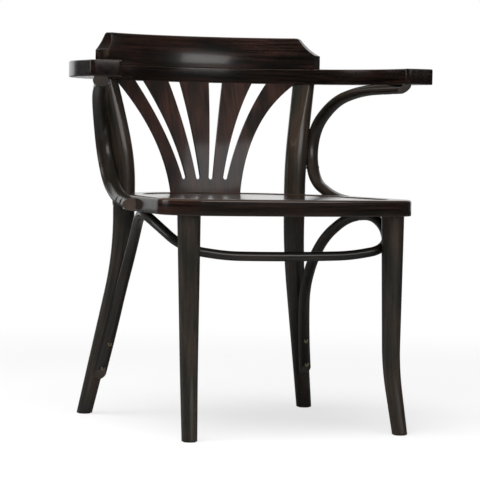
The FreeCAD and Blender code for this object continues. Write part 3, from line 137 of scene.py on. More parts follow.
def quarter(steps=6):
    """Sines and cosines of a quarter turn, for rounded edges."""
    turn = np.linspace(0, np.pi / 2, steps)
    return np.sin(turn), np.cos(turn)


def grid_faces(rows, columns):
    """Quads of a grid whose last column joins the first."""
    row = np.arange(rows - 1)[:, None]
    column = np.arange(columns)[None, :]
    after = (column + 1) % columns
    corners = (row, column), (row, after), (row + 1, after), (row + 1, column)
    return np.stack([r * columns + c for r, c in corners], axis=-1).reshape(-1, 4)


def add_piece(name, points, grain, worn, faces, sharp_degrees=SHARP_DEGREES):
    """A closed mesh in millimetres becomes a Blender object with the wood's two attributes."""
    mesh = bpy.data.meshes.new(name)
    mesh.from_pydata((points.reshape(-1, 3) * MM).tolist(), [], faces)
    lie = mesh.attributes.new("grain", "FLOAT_VECTOR", "POINT")
    lie.data.foreach_set("vector", (grain * MM).astype(np.float32).ravel())
    rub = mesh.attributes.new("worn", "FLOAT", "POINT")
    rub.data.foreach_set("value", worn.astype(np.float32).ravel())
    work = bmesh.new()
    work.from_mesh(mesh)
    bmesh.ops.remove_doubles(work, verts=work.verts, dist=MERGE_MM * MM)
    bmesh.ops.dissolve_degenerate(work, edges=work.edges, dist=MERGE_MM * MM)
    bmesh.ops.recalc_face_normals(work, faces=work.faces)
    open_edges = sum(1 for edge in work.edges if not edge.is_manifold)
    work.to_mesh(mesh)
    work.free()
    mesh.shade_smooth()
    mesh.set_sharp_from_angle(angle=np.radians(sharp_degrees))
    print(name, "has", len(mesh.polygons), "faces and", open_edges, "open edges")
    return add_object(name, mesh)


def add_tube(name, points, grain, worn, sharp_degrees=SHARP_DEGREES):
    """A grid of rows x columns x 3, closed round its columns and by a flat face at both ends."""
    rows, columns = points.shape[:2]
    ends = [np.arange(columns)[::-1], np.arange(columns) + (rows - 1) * columns]
    faces = grid_faces(rows, columns).tolist() + [end.tolist() for end in ends]
    return add_piece(name, points, grain, worn, faces, sharp_degrees)


dressed = {}


def stands_for(piece, slot, node):
    """The piece rides with the chair, takes the slot's finish and hides the node it stands for."""
    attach(piece, "root")
    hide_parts(node)
    dressed[node] = piece, slot


def gather(rows):
    """Rows of place, height and wear become arrays with one column for each row."""
    places, heights, wear = zip(*rows)
    blank = np.zeros(len(places[0]))
    z, worn = (np.stack([blank + value for value in part], axis=1) for part in (heights, wear))
    return np.stack(places, axis=1), z, worn


# %% [markdown]
# ## Legs
#
# The legs are turned round, then steamed and bent. The front leg turns forward at its foot.
# The rear leg and its back post are one piece, which turns out and back below the seat, stands
# upright beside it and leans back again above it, all in one diagonal plane. A curve with a
# bevel could draw a leg, but its ends would be cut square to the slope, while a stack of level
# circles ends flat on the glide. The middle line is straight runs that turn within knees: the
# sideways travel is a parabola there, so the runs meet it without a corner.

# %% Middle lines of the legs
SEAT_TOP = 462
RIM_HEIGHT = 32
SEAT_UNDER = SEAT_TOP - RIM_HEIGHT
BOW_UNDER = 693.3
GLIDE_HEIGHT = 1.5
FOOT_EASE = 0.5
FOOT_ROWS = np.array([0, 0.3, 0.65])
FRONT_LEG_TOP = (217.2, 246.5)
FRONT_LEG_SPLAY = (-0.0065, 0.028)
# A knee is its height, its reach up and down and, for the rear leg, the slope beyond it.
FRONT_KNEE = (130, 44)
FRONT_FOOT_SLOPES = (0.07, 0.199)
FRONT_LEG_RADII = (15.1, 22.6)
REAR_LEG_X = 192.7
REAR_LEG_Y = 171.8
REAR_KNEE = (336, 80, 0.2464)
POST_KNEE = (525, 55, 0.248)
POST_RADIUS = 23.4
REAR_LEG_RADII = (16.1, 22.5, POST_RADIUS)
RADIUS_HEIGHTS = (0, SEAT_UNDER, BOW_UNDER)
DIAGONAL = np.sqrt(0.5)
LEG_ROWS = 120
LEG_COLUMNS = 96
FRONT_SHIFTS = {"left": -700, "right": 700}
REAR_SHIFTS = {"left": -600, "right": 1200}


def lean(height, knee, reach, slope, way):
    """Travel of a line that is upright on one side of its knee and slopes on the other."""
    past = way * (height - knee)
    bend = slope * (past + reach) ** 2 / (4 * reach)
    return np.where(past >= reach, slope * past, np.where(past > -reach, bend, 0))


def front_leg_line(z, side):
    below = SEAT_UNDER - z
    x, y = (
        top + splay * below + lean(z, *FRONT_KNEE, slope, -1)
        for top, splay, slope in zip(FRONT_LEG_TOP, FRONT_LEG_SPLAY, FRONT_FOOT_SLOPES)
    )
    return side * x, -y, np.interp(z, RADIUS_HEIGHTS[:2], FRONT_LEG_RADII)


def rear_leg_line(z, side):
    travel = DIAGONAL * (lean(z, *REAR_KNEE, -1) + lean(z, *POST_KNEE, 1))
    radius = np.interp(z, RADIUS_HEIGHTS, REAR_LEG_RADII)
    return side * (REAR_LEG_X + travel), REAR_LEG_Y + travel, radius


def leg_surface(line, side, top, shift):
    """Level circles round the middle line, drawn in at the foot to ease its edge.

    Rows are closer round the foot. The shift gives each leg its own stretch of timber.
    """
    eased = GLIDE_HEIGHT + FOOT_EASE * FOOT_ROWS
    upper = np.linspace(GLIDE_HEIGHT + FOOT_EASE, top, LEG_ROWS)
    z = np.concatenate([eased, upper])[:, None]
    x, y, radius = line(z, side)
    up = np.clip((z - GLIDE_HEIGHT) / FOOT_EASE, 0, 1)
    radius = radius - FOOT_EASE * (1 - np.sqrt(1 - (1 - up) ** 2))
    turn = np.linspace(0, 2 * np.pi, LEG_COLUMNS, endpoint=False)[None, :]
    across, through = radius * np.cos(turn), radius * np.sin(turn)
    z = z + 0 * turn
    points = np.stack([x + across, y + through, z], axis=-1)
    grain = np.stack([z + shift, across, through], axis=-1)
    return points, grain, np.broadcast_to(1 - up, z.shape)


# %% Front legs
for word, side in SIDES:
    surface = leg_surface(front_leg_line, side, SEAT_UNDER, FRONT_SHIFTS[word])
    leg = add_tube(f"turned_front_leg_{word}", *surface)
    stands_for(leg, "leg_wood", f"front_leg_{word}")


# %% [markdown]
# The back post carries a flat on its inner side, planed on so that the curved back lies
# against it. A Boolean cut would leave thin triangles and new points without grain. Instead,
# points that stand out past the flat's plane are pushed back onto it, level and towards the
# post's middle, which leaves a long clean facet that runs out near the seat.

# %% Rear legs
FACET_DEPTH = 8
FACET_FOOT = 555
FACET_FADE = 10
FACET_WEAR = 0.6
FACET_SHARP = 28
POST_RUN = 35


def plane_flat(points, side):
    """Pushes points past the flat's plane back onto it along the level inward direction."""
    inward = np.array([-side, -1, 0]) * DIAGONAL
    run = np.array([BOW_UNDER - POST_RUN, BOW_UNDER])
    x, y, _ = rear_leg_line(run, side)
    low, high = np.stack([x, y, run], axis=-1)
    share = (FACET_FOOT - low[2]) / (high[2] - low[2])
    foot = low + (high - low) * share + inward * POST_RADIUS
    crown = high + inward * (POST_RADIUS - FACET_DEPTH)
    rise = unit(crown - foot)
    normal = unit(inward - rise * (inward @ rise))
    past, height = (points - crown) @ normal, points[..., 2]
    proud = np.clip(past, 0, None) * (height > FACET_FOOT)
    edge = np.exp(-np.abs(past) / FACET_WEAR) * (height > FACET_FOOT + FACET_FADE)
    return points - proud[..., None] * inward / (inward @ normal), edge * (proud == 0)


for word, side in SIDES:
    points, grain, worn = leg_surface(rear_leg_line, side, BOW_UNDER, REAR_SHIFTS[word])
    points, edge = plane_flat(points, side)
    worn = np.maximum(worn, edge)
    leg = add_tube(f"bent_rear_leg_{word}", points, grain, worn, FACET_SHARP)
    stands_for(leg, "leg_wood", f"rear_leg_{word}")


# %% [markdown]
# ## Seat ring
#
# One strip of beech is bent into the whole ring, with a rebate for the seat panel. A section
# swept along one line would leave the rebate's corners too tight. So the plan is a family of
# curves, one for each distance inside the outer edge: a round back, straight sides, round
# corners and a bowed front, all tangent. The section is a list of such distances with their
# heights and corner radii, and the ring is the same formula evaluated for each of them.

# %% Plan of the seat
SEAT_BACK_RADIUS = 248
SEAT_BACK_Y = -13
SEAT_FRONT_RADIUS = 1200
CORNER_RADIUS = 75
CORNER_X = 191.5
CORNER_Y = -211.6
BACK_STEPS, SIDE_STEPS, CORNER_STEPS, FRONT_STEPS = 120, 24, 30, 60


def arc_points(centre, radius, start, end, count):
    """Points of an arc between two angles, without its last point."""
    turn = np.linspace(start, end, count, endpoint=False)
    return np.stack([centre[0] + radius * np.cos(turn), centre[1] + radius * np.sin(turn)], axis=-1)


def line_points(start, end, count):
    share = np.linspace(0, 1, count, endpoint=False)[:, None]
    return np.asarray(start) * (1 - share) + np.asarray(end) * share


def seat_plan(inset, corner):
    """Closed outline at one distance inside the outer edge, with its own corner radius."""
    rear, front = SEAT_BACK_RADIUS - inset, SEAT_FRONT_RADIUS - inset
    move = CORNER_RADIUS - inset - corner
    x, y = CORNER_X + move, CORNER_Y - move
    tilt = np.arccos((rear - corner) / np.hypot(x, y - SEAT_BACK_Y))
    side = np.arctan2(y - SEAT_BACK_Y, x) + tilt
    front_y = y + np.sqrt((front - corner) ** 2 - x**2)
    bow = np.arctan2(y - front_y, x)
    back = arc_points((0, SEAT_BACK_Y), rear, side, np.pi - side, BACK_STEPS)
    left = arc_points((-x, y), corner, np.pi - side, np.pi - bow, CORNER_STEPS)
    fore = arc_points((0, front_y), front, -np.pi - bow, bow, FRONT_STEPS)
    right = arc_points((x, y), corner, bow, side, CORNER_STEPS)
    back_end = (rear * -np.cos(side), SEAT_BACK_Y + rear * np.sin(side))
    left_side = line_points(back_end, left[0], SIDE_STEPS)
    right_end = (x + corner * np.cos(side), y + corner * np.sin(side))
    right_side = line_points(right_end, back[0], SIDE_STEPS)
    return np.concatenate([back, left_side, left, fore, right, right_side])


# %% Seat ring surface
RIM_EDGE = 5
RIM_LOW_EDGE = 2.5
RIM_WIDTH = 46
TOP_ROWS = 5
INNER_CORNER = 45
LIP_INSET = 39
LIP_DEPTH = 10
LIP_HEIGHT = SEAT_TOP - LIP_DEPTH
LIP_CORNER = 52
LIP_EASE = 0.8
LIP_WEAR = 0.8


def rim_section():
    """Inset, height, corner radius and wear of each point round the ring's section."""
    sine, cosine = quarter()
    rubbed = 2 * sine * cosine
    low = zip(RIM_LOW_EDGE * (1 - sine), SEAT_UNDER + RIM_LOW_EDGE * (1 - cosine), rubbed / 2)
    top = zip(RIM_EDGE * (1 - cosine), SEAT_TOP - RIM_EDGE * (1 - sine), rubbed)
    rows = [(inset, z, CORNER_RADIUS - inset, wear) for inset, z, wear in [*low, *top]]
    across = np.linspace(RIM_EDGE, LIP_INSET - LIP_EASE, TOP_ROWS)[1:-1]
    turns = np.interp(across, (RIM_EDGE, LIP_INSET), (CORNER_RADIUS - RIM_EDGE, LIP_CORNER))
    rows += [(inset, SEAT_TOP, corner, 0) for inset, corner in zip(across, turns)]
    rows += [
        (LIP_INSET - LIP_EASE, SEAT_TOP, LIP_CORNER, LIP_WEAR),
        (LIP_INSET, SEAT_TOP - LIP_EASE, LIP_CORNER, LIP_WEAR),
        (LIP_INSET, LIP_HEIGHT, LIP_CORNER, 0),
        (RIM_WIDTH, LIP_HEIGHT, INNER_CORNER, 0),
        (RIM_WIDTH, SEAT_UNDER, INNER_CORNER, 0),
    ]
    return rows


def ring_surface():
    """The plan at each inset of the section, lifted to that point's height."""
    insets, heights, corners, wear = np.array(rim_section()).T
    plans = np.stack([seat_plan(inset, corner) for inset, corner in zip(insets, corners)], axis=1)
    along = distance_along(plans.mean(axis=1))[:, None] + 0 * insets
    z = np.broadcast_to(heights, along.shape)
    points = np.concatenate([plans, z[..., None]], axis=-1)
    grain = np.stack([along, insets + 0 * along, z], axis=-1)
    return points, grain, np.broadcast_to(wear, along.shape)


def add_loop(name, points, grain, worn):
    """A grid that is closed both round its section and along its length."""
    points, grain, worn = (np.concatenate([a, a[:1]]) for a in (points, grain, worn))
    return add_piece(name, points, grain, worn, grid_faces(*worn.shape).tolist())


seat_ring = add_loop("bent_seat_ring", *ring_surface())
stands_for(seat_ring, "rim_wood", "seat_rim")

# %% [markdown]
# ## Arm bow
#
# Both arms and the lower back rail are one flat bow. Its outline could be drawn flat and
# given a thickness, but the grain would then run straight across the bend. Seen from above,
# the inner edge is a half circle with straight ends, and the outer edge is three arcs. Both
# edges run from the middle of the left arm's end to the middle of the right one, so each
# station of the bow joins a point of the inner edge to a point of the outer one, with rounded
# edges, and the grain follows the stations.

# %% Edges of the bow
BOW_CENTRE = np.array([0, -37])
BOW_INNER = 308
BOW_HALF = 372
BOW_BACK = 388.7
BOW_SHIFT = 48.7
BOW_HEIGHT = 32
BOW_EDGE = 2.5
INNER_REACH = 79.5
OUTER_REACH = 74
TIP_RADIUS = 9
TIP_GAP = 0.001
END_STEPS, TIP_STEPS, ARM_STEPS, CURVE_STEPS = 5, 9, 16, 220


def outer_reach(turn):
    """Distance from the bow's centre to its outer edge: arcs at the sides, one across the back."""
    side_x = (BOW_SHIFT**2 - (BOW_BACK - BOW_HALF) ** 2) / (2 * (BOW_BACK - BOW_HALF))
    side = BOW_HALF - side_x
    slope = np.arctan2(BOW_SHIFT, side_x)
    meet = np.arctan2(side * np.sin(slope), side_x + side * np.cos(slope))
    flank = side_x * np.abs(np.cos(turn)) + np.sqrt(side**2 - (side_x * np.sin(turn)) ** 2)
    back = np.sqrt(BOW_BACK**2 - (BOW_SHIFT * np.cos(turn)) ** 2) - BOW_SHIFT * np.sin(turn)
    return np.where(np.sin(turn) < np.sin(meet), flank, back)


def rounded_corner(corner, before, after, radius, count):
    """Arc that rounds a corner between two unit directions that lead away from it."""
    opening = np.arccos(before @ after)
    reach = radius / np.tan(opening / 2)
    centre = corner + unit(before + after) * radius / np.sin(opening / 2)
    first = corner + before * reach - centre
    last = corner + after * reach - centre
    sweep = np.pi - opening
    turn = np.linspace(0, sweep, count)[:, None]
    across = (last - first * np.cos(sweep)) / np.sin(sweep)
    return centre + first * np.cos(turn) + across * np.sin(turn)


def bow_edge(curve, tip, middle):
    """The bow's inner or outer edge, from the middle of its left end to that of its right end."""
    bend = rounded_corner(tip, unit(middle - tip), np.array([0, 1]), TIP_RADIUS, TIP_STEPS)
    start = line_points(middle, bend[0], END_STEPS)
    arm = line_points(bend[-1] + TIP_GAP, curve[0], ARM_STEPS)
    right = np.concatenate([start, bend, arm[1:]])
    left = right * np.array([-1, 1])
    return np.concatenate([left, curve[::-1], right[::-1]])


def outward_normals(edge, away):
    """Unit normals of a curve in plan; away is 1 or -1 to pick the side that faces out."""
    along = unit(np.gradient(edge, axis=0))
    return away * np.stack([along[:, 1], -along[:, 0]], axis=-1)


# %% Arm bow surface
FACE_SHARES = (0.2, 0.5, 0.8)


def wall_rows(edge, out):
    """Plan, height and wear of a wall's rows: lower rounding, upright part, upper rounding."""
    rounding = list(zip(*quarter()))
    rows = [(edge - out * BOW_EDGE * (1 - s), BOW_EDGE * (1 - c), s * c) for s, c in rounding]
    for s, c in rounding:
        rows.append((edge - out * BOW_EDGE * (1 - c), BOW_HEIGHT - BOW_EDGE * (1 - s), 2 * s * c))
    return rows


def bow_surface():
    """At each station: inner wall, top, outer wall and underside, with all four edges round."""
    turn = np.linspace(0, np.pi, CURVE_STEPS)
    ray = np.stack([np.cos(turn), np.sin(turn)], axis=-1)
    inner_tip = np.array([BOW_INNER, -INNER_REACH])
    outer_tip = np.array([BOW_HALF, -OUTER_REACH])
    middle = (inner_tip + outer_tip) / 2
    inner = bow_edge(ray * BOW_INNER, inner_tip, middle)
    outer = bow_edge(ray * outer_reach(turn)[:, None], outer_tip, middle)
    inner_out = outward_normals(inner, 1)
    outer_out = outward_normals(outer, -1)
    inner_out[[0, -1]] = outer_out[[0, -1]] = (0, -1)
    line = (inner + outer) / 2
    near, far = inner - inner_out * BOW_EDGE, outer - outer_out * BOW_EDGE
    rows = wall_rows(inner, inner_out)
    rows += [(near * (1 - share) + far * share, BOW_HEIGHT, 0) for share in FACE_SHARES]
    rows += wall_rows(outer, outer_out)[::-1]
    rows += [(far * (1 - share) + near * share, 0, 0) for share in FACE_SHARES]
    plan, z, worn = gather(rows)
    points = np.concatenate([plan + BOW_CENTRE, z[..., None] + BOW_UNDER], axis=-1)
    width = np.linalg.norm(plan - line[:, None], axis=-1)
    grain = np.stack([distance_along(line)[:, None] + 0 * z, width, z], axis=-1)
    return points, grain, worn


arm_bow = add_tube("bent_arm_bow", *bow_surface())
stands_for(arm_bow, "bow_wood", "arm_bow")

# %% [markdown]
# ## Crest rail
#
# The crest is glued on the bow. Its section is turned about the bow's centre: upright at the
# back, hollow at the front so that the top leans back. Each end has a scoop that rolls over
# from the top and sweeps down to a low ear. A Boolean with a rounded cutter could carve it,
# but would break the even grid. The scoop's height depends only on the distance across its own
# direction, so the grid's upper rows can follow it, close together where it falls.

# %% Height of the scooped ends
CREST_HEIGHT = 66
CREST_BACK = 340
CREST_FRONT_ARC = 122.8
EAR_HEIGHT = 28.7
SCOOP_ANGLE = np.radians(43.8)
SCOOP_HALF = 25.8
SCOOP_ROUND = 14
SCOOP_TURN = np.radians(50)


def scoop_height(across):
    """Level, then a convex arc, then a hollow arc that ends at the ear's height."""
    sine, cosine = np.sin(SCOOP_TURN), np.cos(SCOOP_TURN)
    knee = np.array([-SCOOP_HALF + SCOOP_ROUND * sine, CREST_HEIGHT - SCOOP_ROUND * (1 - cosine)])
    fall = np.array([SCOOP_HALF, EAR_HEIGHT]) - knee
    hollow = np.hypot(*fall) / (2 * np.sin(SCOOP_TURN - np.arctan2(-fall[1], fall[0])))
    middle = knee + hollow * np.array([sine, cosine])
    roll = np.sqrt(np.clip(SCOOP_ROUND**2 - (across + SCOOP_HALF) ** 2, 0, None))
    hang = np.sqrt(np.clip(hollow**2 - (across - middle[0]) ** 2, 0, None))
    sweep = np.where(across < knee[0], CREST_HEIGHT - SCOOP_ROUND + roll, middle[1] - hang)
    sweep = np.where(across < -SCOOP_HALF, CREST_HEIGHT, sweep)
    return np.where(across > SCOOP_HALF, EAR_HEIGHT, sweep)


def crest_height(radius, turn):
    return scoop_height(radius * np.sin(np.abs(turn) - SCOOP_ANGLE))


def front_radius(z):
    """The crest's front face: an arc that starts upright at the bow and leans back."""
    pivot = BOW_INNER + CREST_FRONT_ARC
    return pivot - np.sqrt(CREST_FRONT_ARC**2 - z**2)


# %% Crest rail surface
CREST_MIDDLE = np.linspace(-38, 38, 110)
CREST_SCOOP = np.linspace(38.6, 48.3, 70)
MIDDLE_EASE = 3
END_EASE = 1.2
EASE_FADE = (38.5, 41)
FRONT_SHARES = np.linspace(0, 1, 14)
CREST_TOP_SHARES = np.linspace(0, 1, 6)[1:-1]
BACK_SHARES = (0.66, 0.33, 0)
HEIGHT_ROUNDS = 4
EDGE_STEPS = 5
CREST_SHARP = 32


def crest_surface():
    """Front face, rounded edge, top, rounded edge, back face and underside at each angle."""
    degrees = np.concatenate([-CREST_SCOOP[::-1], CREST_MIDDLE, CREST_SCOOP])
    turn = np.radians(degrees)
    top = np.full(turn.shape, float(CREST_HEIGHT))
    for _ in range(HEIGHT_ROUNDS):
        top = crest_height(front_radius(top), turn)
    ease = MIDDLE_EASE + (END_EASE - MIDDLE_EASE) * smooth_step(np.abs(degrees), *EASE_FADE)
    sine, cosine = quarter(EDGE_STEPS)
    rows = []
    for share in FRONT_SHARES:
        z = (top - ease) * share
        rows.append((front_radius(z), z, 0))

    def add_row(radius, drop, wear):
        rows.append((radius, crest_height(radius, turn) - drop, wear))

    near = front_radius(top - ease)
    for s, c in zip(sine[1:], cosine[1:]):
        add_row(near + ease * (1 - c), ease * (1 - s), 2 * s * c)
    first, last = near + ease, CREST_BACK - ease
    for share in CREST_TOP_SHARES:
        add_row(first * (1 - share) + last * share, 0, 0)
    for s, c in zip(sine, cosine):
        add_row(last + ease * s, ease * (1 - c), 2 * s * c)
    for share in BACK_SHARES:
        rows.append((CREST_BACK + 0 * turn, (crest_height(CREST_BACK, turn) - ease) * share, 0))
    rows.append(((BOW_INNER + CREST_BACK) / 2 + 0 * turn, 0 * turn, 0))
    radius, z, worn = gather(rows)
    angle = turn[:, None]
    x, y = radius * np.sin(angle), radius * np.cos(angle) + BOW_CENTRE[1]
    points = np.stack([x, y, z + BOW_UNDER + BOW_HEIGHT], axis=-1)
    return points, np.stack([BOW_INNER * angle + 0 * z, radius, z], axis=-1), worn


crest = add_tube("scooped_crest_rail", *crest_surface(), CREST_SHARP)
stands_for(crest, "crest_wood", "crest_rail")

# %% [markdown]
# ## Back splat
#
# The splat is a moulded sheet of plywood, nearly flat at the seat and strongly curved under
# the bow. Three arcs at three heights, blended by a parabola, give the sheet. Four slots
# open like a fan between five fingers. Slots cut out by a Boolean would leave thin triangles
# that spoil the shine of a curved sheet. So each finger is a strip between two edge curves,
# and below the slots the strips share their edges and merge into the solid foot.

# %% Curved sheet of the splat
SHEET_HEIGHTS = np.array([452, 577.5, 703])
SHEET_RADII = np.array([660, 400, 305])
SHEET_FRONTS = np.array([198.7, 226, 275.7])
SHEET_HALF = 215
NEWTON_STEPS = 5


def parabola_shares(z):
    """Weights of three values at the three heights for a parabola through them."""
    shares = []
    for number, height in enumerate(SHEET_HEIGHTS):
        first, second = np.delete(SHEET_HEIGHTS, number)
        shares.append((z - first) * (z - second) / ((height - first) * (height - second)))
    return np.stack(shares, axis=-1)


def sheet_point(x, z, thick):
    """The sheet's point in front view (x, z), found by Newton's steps on the arc's share."""
    weights = parabola_shares(z)
    spread = np.arcsin(SHEET_HALF / SHEET_RADII)
    share = x / SHEET_HALF
    for _ in range(NEWTON_STEPS):
        turn = share[..., None] * spread
        reach = (weights * SHEET_RADII * np.sin(turn)).sum(-1)
        rate = (weights * SHEET_RADII * spread * np.cos(turn)).sum(-1)
        share = share + (x - reach) / rate
    turn = share[..., None] * spread
    radii = SHEET_RADII + thick
    across = (weights * radii * np.sin(turn)).sum(-1)
    depth = (weights * (SHEET_FRONTS - SHEET_RADII + radii * np.cos(turn))).sum(-1)
    return np.stack([across, depth, z], axis=-1)


# %% Edges of the fingers
SLOT_FOOT = 489
SLOT_ROUND = 5.1
SLOT_HEEL = SLOT_FOOT + SLOT_ROUND
SLOT_MIDDLE = 575
# A slot is its middle at three heights, then half its width at the upper two.
INNER_SLOT = (14.4, 25.8, 46.7, 8, 14.5)
OUTER_SLOT = (47, 73.2, 134.9, 8, 13.4)
SIDE_EDGE = ((77.9, SEAT_TOP), (110.3, SLOT_MIDDLE), (199, BOW_UNDER))


def arc_edge(low, middle, high):
    """x of the circle through three points (x, z), as a function of z."""
    (x1, z1), (x2, z2), (x3, z3) = low, middle, high
    matrix = 2 * np.array([[x2 - x1, z2 - z1], [x3 - x1, z3 - z1]])
    squares = np.array([x2**2 + z2**2 - x1**2 - z1**2, x3**2 + z3**2 - x1**2 - z1**2])
    centre = np.linalg.solve(matrix, squares)
    radius = np.hypot(x1 - centre[0], z1 - centre[1])
    side = np.sign(x2 - centre[0])

    def edge(z):
        return centre[0] + side * np.sqrt(radius**2 - (z - centre[1]) ** 2)

    return edge


def slot_edge(slot, way):
    """One edge of a slot: up its arc above the heel, round its bottom, and shut below."""
    foot, middle, head, half, head_half = slot
    arc = arc_edge(
        (foot + way * SLOT_ROUND, SLOT_HEEL),
        (middle + way * half, SLOT_MIDDLE),
        (head + way * head_half, BOW_UNDER),
    )

    def edge(z):
        round_part = np.sqrt(np.clip(SLOT_ROUND**2 - (z - SLOT_HEEL) ** 2, 0, None))
        lower = foot + way * np.where(z > SLOT_FOOT, round_part, 0)
        return np.where(z > SLOT_HEEL, arc(np.maximum(z, SLOT_HEEL)), lower)

    return edge


# The middle finger's low edge mirrors its high one.
FINGERS = (
    (None, slot_edge(INNER_SLOT, -1)),
    (slot_edge(INNER_SLOT, 1), slot_edge(OUTER_SLOT, -1)),
    (slot_edge(OUTER_SLOT, 1), arc_edge(*SIDE_EDGE)),
)

# %% Splat surface
SPLAT_THICKNESS = 7
SPLAT_FOOT = 456
SPLAT_TOP = 700
SPLAT_SHARP = 30
FINGER_STEPS = 8
LOW_ROWS, HEEL_ROWS, UPPER_ROWS = 12, 8, 90


def splat_rows():
    """Heights of the rows, close together round the bottoms of the slots."""
    low = np.linspace(SPLAT_FOOT, SLOT_FOOT, LOW_ROWS)[:-1]
    bottom = SLOT_FOOT + SLOT_ROUND * (1 - quarter(HEEL_ROWS)[1])
    return np.concatenate([low, bottom, np.linspace(SLOT_HEEL, SPLAT_TOP, UPPER_ROWS)[1:]])


def finger(low, high):
    """A strip with a front, a back and two edges; columns go once round its section."""
    z = splat_rows()[:, None]
    share = np.linspace(0, 1, FINGER_STEPS)[None, :]
    end = high(z)
    start = low(z) if low else -end
    x = start * (1 - share) + end * share
    z = z + 0 * x
    sheets = sheet_point(x, z, 0), sheet_point(x, z, SPLAT_THICKNESS)[:, ::-1]
    points = np.concatenate(sheets, axis=1)
    thick = np.concatenate([0 * x, 0 * x + SPLAT_THICKNESS], axis=1)
    return points, np.stack([points[..., 2], points[..., 0], thick], axis=-1)


def finger_faces(rows, columns, closed_from, outermost):
    """All quads of a strip, without the edge walls that would lie inside the solid foot."""
    quads = grid_faces(rows, columns).reshape(rows - 1, columns, 4)
    keep = np.ones((rows - 1, columns), bool)
    keep[:closed_from, columns - 1] = False
    if not outermost:
        keep[:closed_from, columns // 2 - 1] = False
    return quads[keep]


def splat_mesh():
    """Five strips in one mesh: the middle one, and two on the right with their mirror images."""
    points, grain, faces = [], [], []
    closed_from = int((splat_rows() < SLOT_FOOT - MERGE_MM).sum())
    count = 0
    for number, edges in enumerate(FINGERS):
        strip, lie = finger(*edges)
        rows, columns = strip.shape[:2]
        half = columns // 2
        front, back = np.arange(half - 1), np.arange(columns - 1, half, -1)
        cap = np.stack([front, front + 1, back - 1, back], axis=-1)
        quads = finger_faces(rows, columns, closed_from, edges is FINGERS[-1])
        every = np.concatenate([quads, cap, cap + (rows - 1) * columns])
        for mirror in (1, -1) if number else (1,):
            points.append(mirrored(strip.reshape(-1, 3), mirror))
            grain.append(lie.reshape(-1, 3) * np.array([1, mirror, 1]))
            faces.append(every[:, ::mirror] + count)
            count += rows * columns
    return [np.concatenate(part) for part in (points, grain, faces)]


points, grain, faces = splat_mesh()
worn = np.zeros(len(points))
splat = add_piece("fanned_back_splat", points, grain, worn, faces.tolist(), SPLAT_SHARP)
stands_for(splat, "splat_wood", "back_splat")

# %% [markdown]
# ## Bent rods
#
# The arm supports and the brace are rods bent in several places. A curve with a bevel would
# draw them too, but with square ends and without the cups for the screws. A rod's middle line
# is straight runs joined by tangent arcs. A frame of two vectors is carried along it without
# twist, and the section, an oval or a circle, is drawn in that frame. A screw's head sits in a
# shallow cup, which is the same surface pushed in round the screw's axis.

# %% Middle line of a rod
BEND_SHARE = 0.48
ROD_STEP = 4
BEND_STEPS = 3
FINE_STEP = 0.1
CUP_ROWS = np.arange(-8, 8.1, 0.7)


def resample(every, along, array):
    """The array's columns, read off at every distance."""
    return np.stack([np.interp(every, along, column) for column in array.T], axis=-1)


def rod_line(route, cups=()):
    """Points and directions along a route: runs, and an arc at every inner corner.

    Stations are every few millimetres and closer where a cup is.
    """
    places, ways = [], []
    last = route[0]

    def add_run(end):
        length = np.linalg.norm(end - last)
        steps = max(int(length / ROD_STEP), 1)
        places.append(line_points(last, end, steps))
        ways.append(np.broadcast_to((end - last) / length, (steps, 3)))

    for before, corner, after in zip(route, route[1:], route[2:]):
        back, ahead = before - corner, after - corner
        reach = BEND_SHARE * min(np.linalg.norm(back), np.linalg.norm(ahead))
        back, ahead = unit(back), unit(ahead)
        turn = np.pi - np.arccos(np.clip(back @ ahead, -1, 1))
        radius = reach / np.tan(turn / 2)
        start = corner + back * reach
        add_run(start)
        normal = (ahead + back * np.cos(turn)) / np.sin(turn)
        steps = max(int(radius * turn / ROD_STEP), BEND_STEPS)
        swing = np.linspace(0, turn, steps, endpoint=False)[:, None]
        places.append(start - back * radius * np.sin(swing) + normal * radius * (1 - np.cos(swing)))
        ways.append(normal * np.sin(swing) - back * np.cos(swing))
        last = corner + ahead * reach
    add_run(route[-1])
    places.append(route[-1][None])
    ways.append(ways[-1][-1:])
    places, ways = np.concatenate(places), np.concatenate(ways)
    along = distance_along(places)
    near = [along[np.argmin(np.linalg.norm(places - cup, axis=1))] for cup in cups]
    every = np.concatenate([along, *(place + CUP_ROWS for place in near)])
    every = np.unique(np.clip(every, 0, along[-1]).round(3))
    return every, resample(every, along, places), unit(resample(every, along, ways))


def fine_line(route):
    """The middle line again, with a point every tenth of a millimetre."""
    along, places, _ = rod_line(route)
    return resample(np.arange(0, along[-1], FINE_STEP), along, places)


def carry_frame(ways, first):
    """A vector square to the rod, carried along it and turned only as much as the rod turns."""
    frames = [first]
    for way in ways:
        frames.append(unit(frames[-1] - way * (frames[-1] @ way)))
    return np.stack(frames[1:])


# %% Rod surface
ROD_COLUMNS = 72
CUP_RADIUS = 4.7
CUP_LIP = 1.1
CUP_DEPTH = 1.8


def push_cups(points, cups):
    """Pushes the surface in along each screw's axis: flat within the head, then a round lip."""
    for place, way, extra in cups:
        offset = points - place
        outside = offset @ way < 0
        level = offset - (offset @ way)[..., None] * way
        distance = np.linalg.norm(level, axis=-1)
        sink = (CUP_DEPTH + extra) * (1 - smooth_step(distance, CUP_RADIUS, CUP_RADIUS + CUP_LIP))
        points = points + (sink * outside)[..., None] * way
    return points


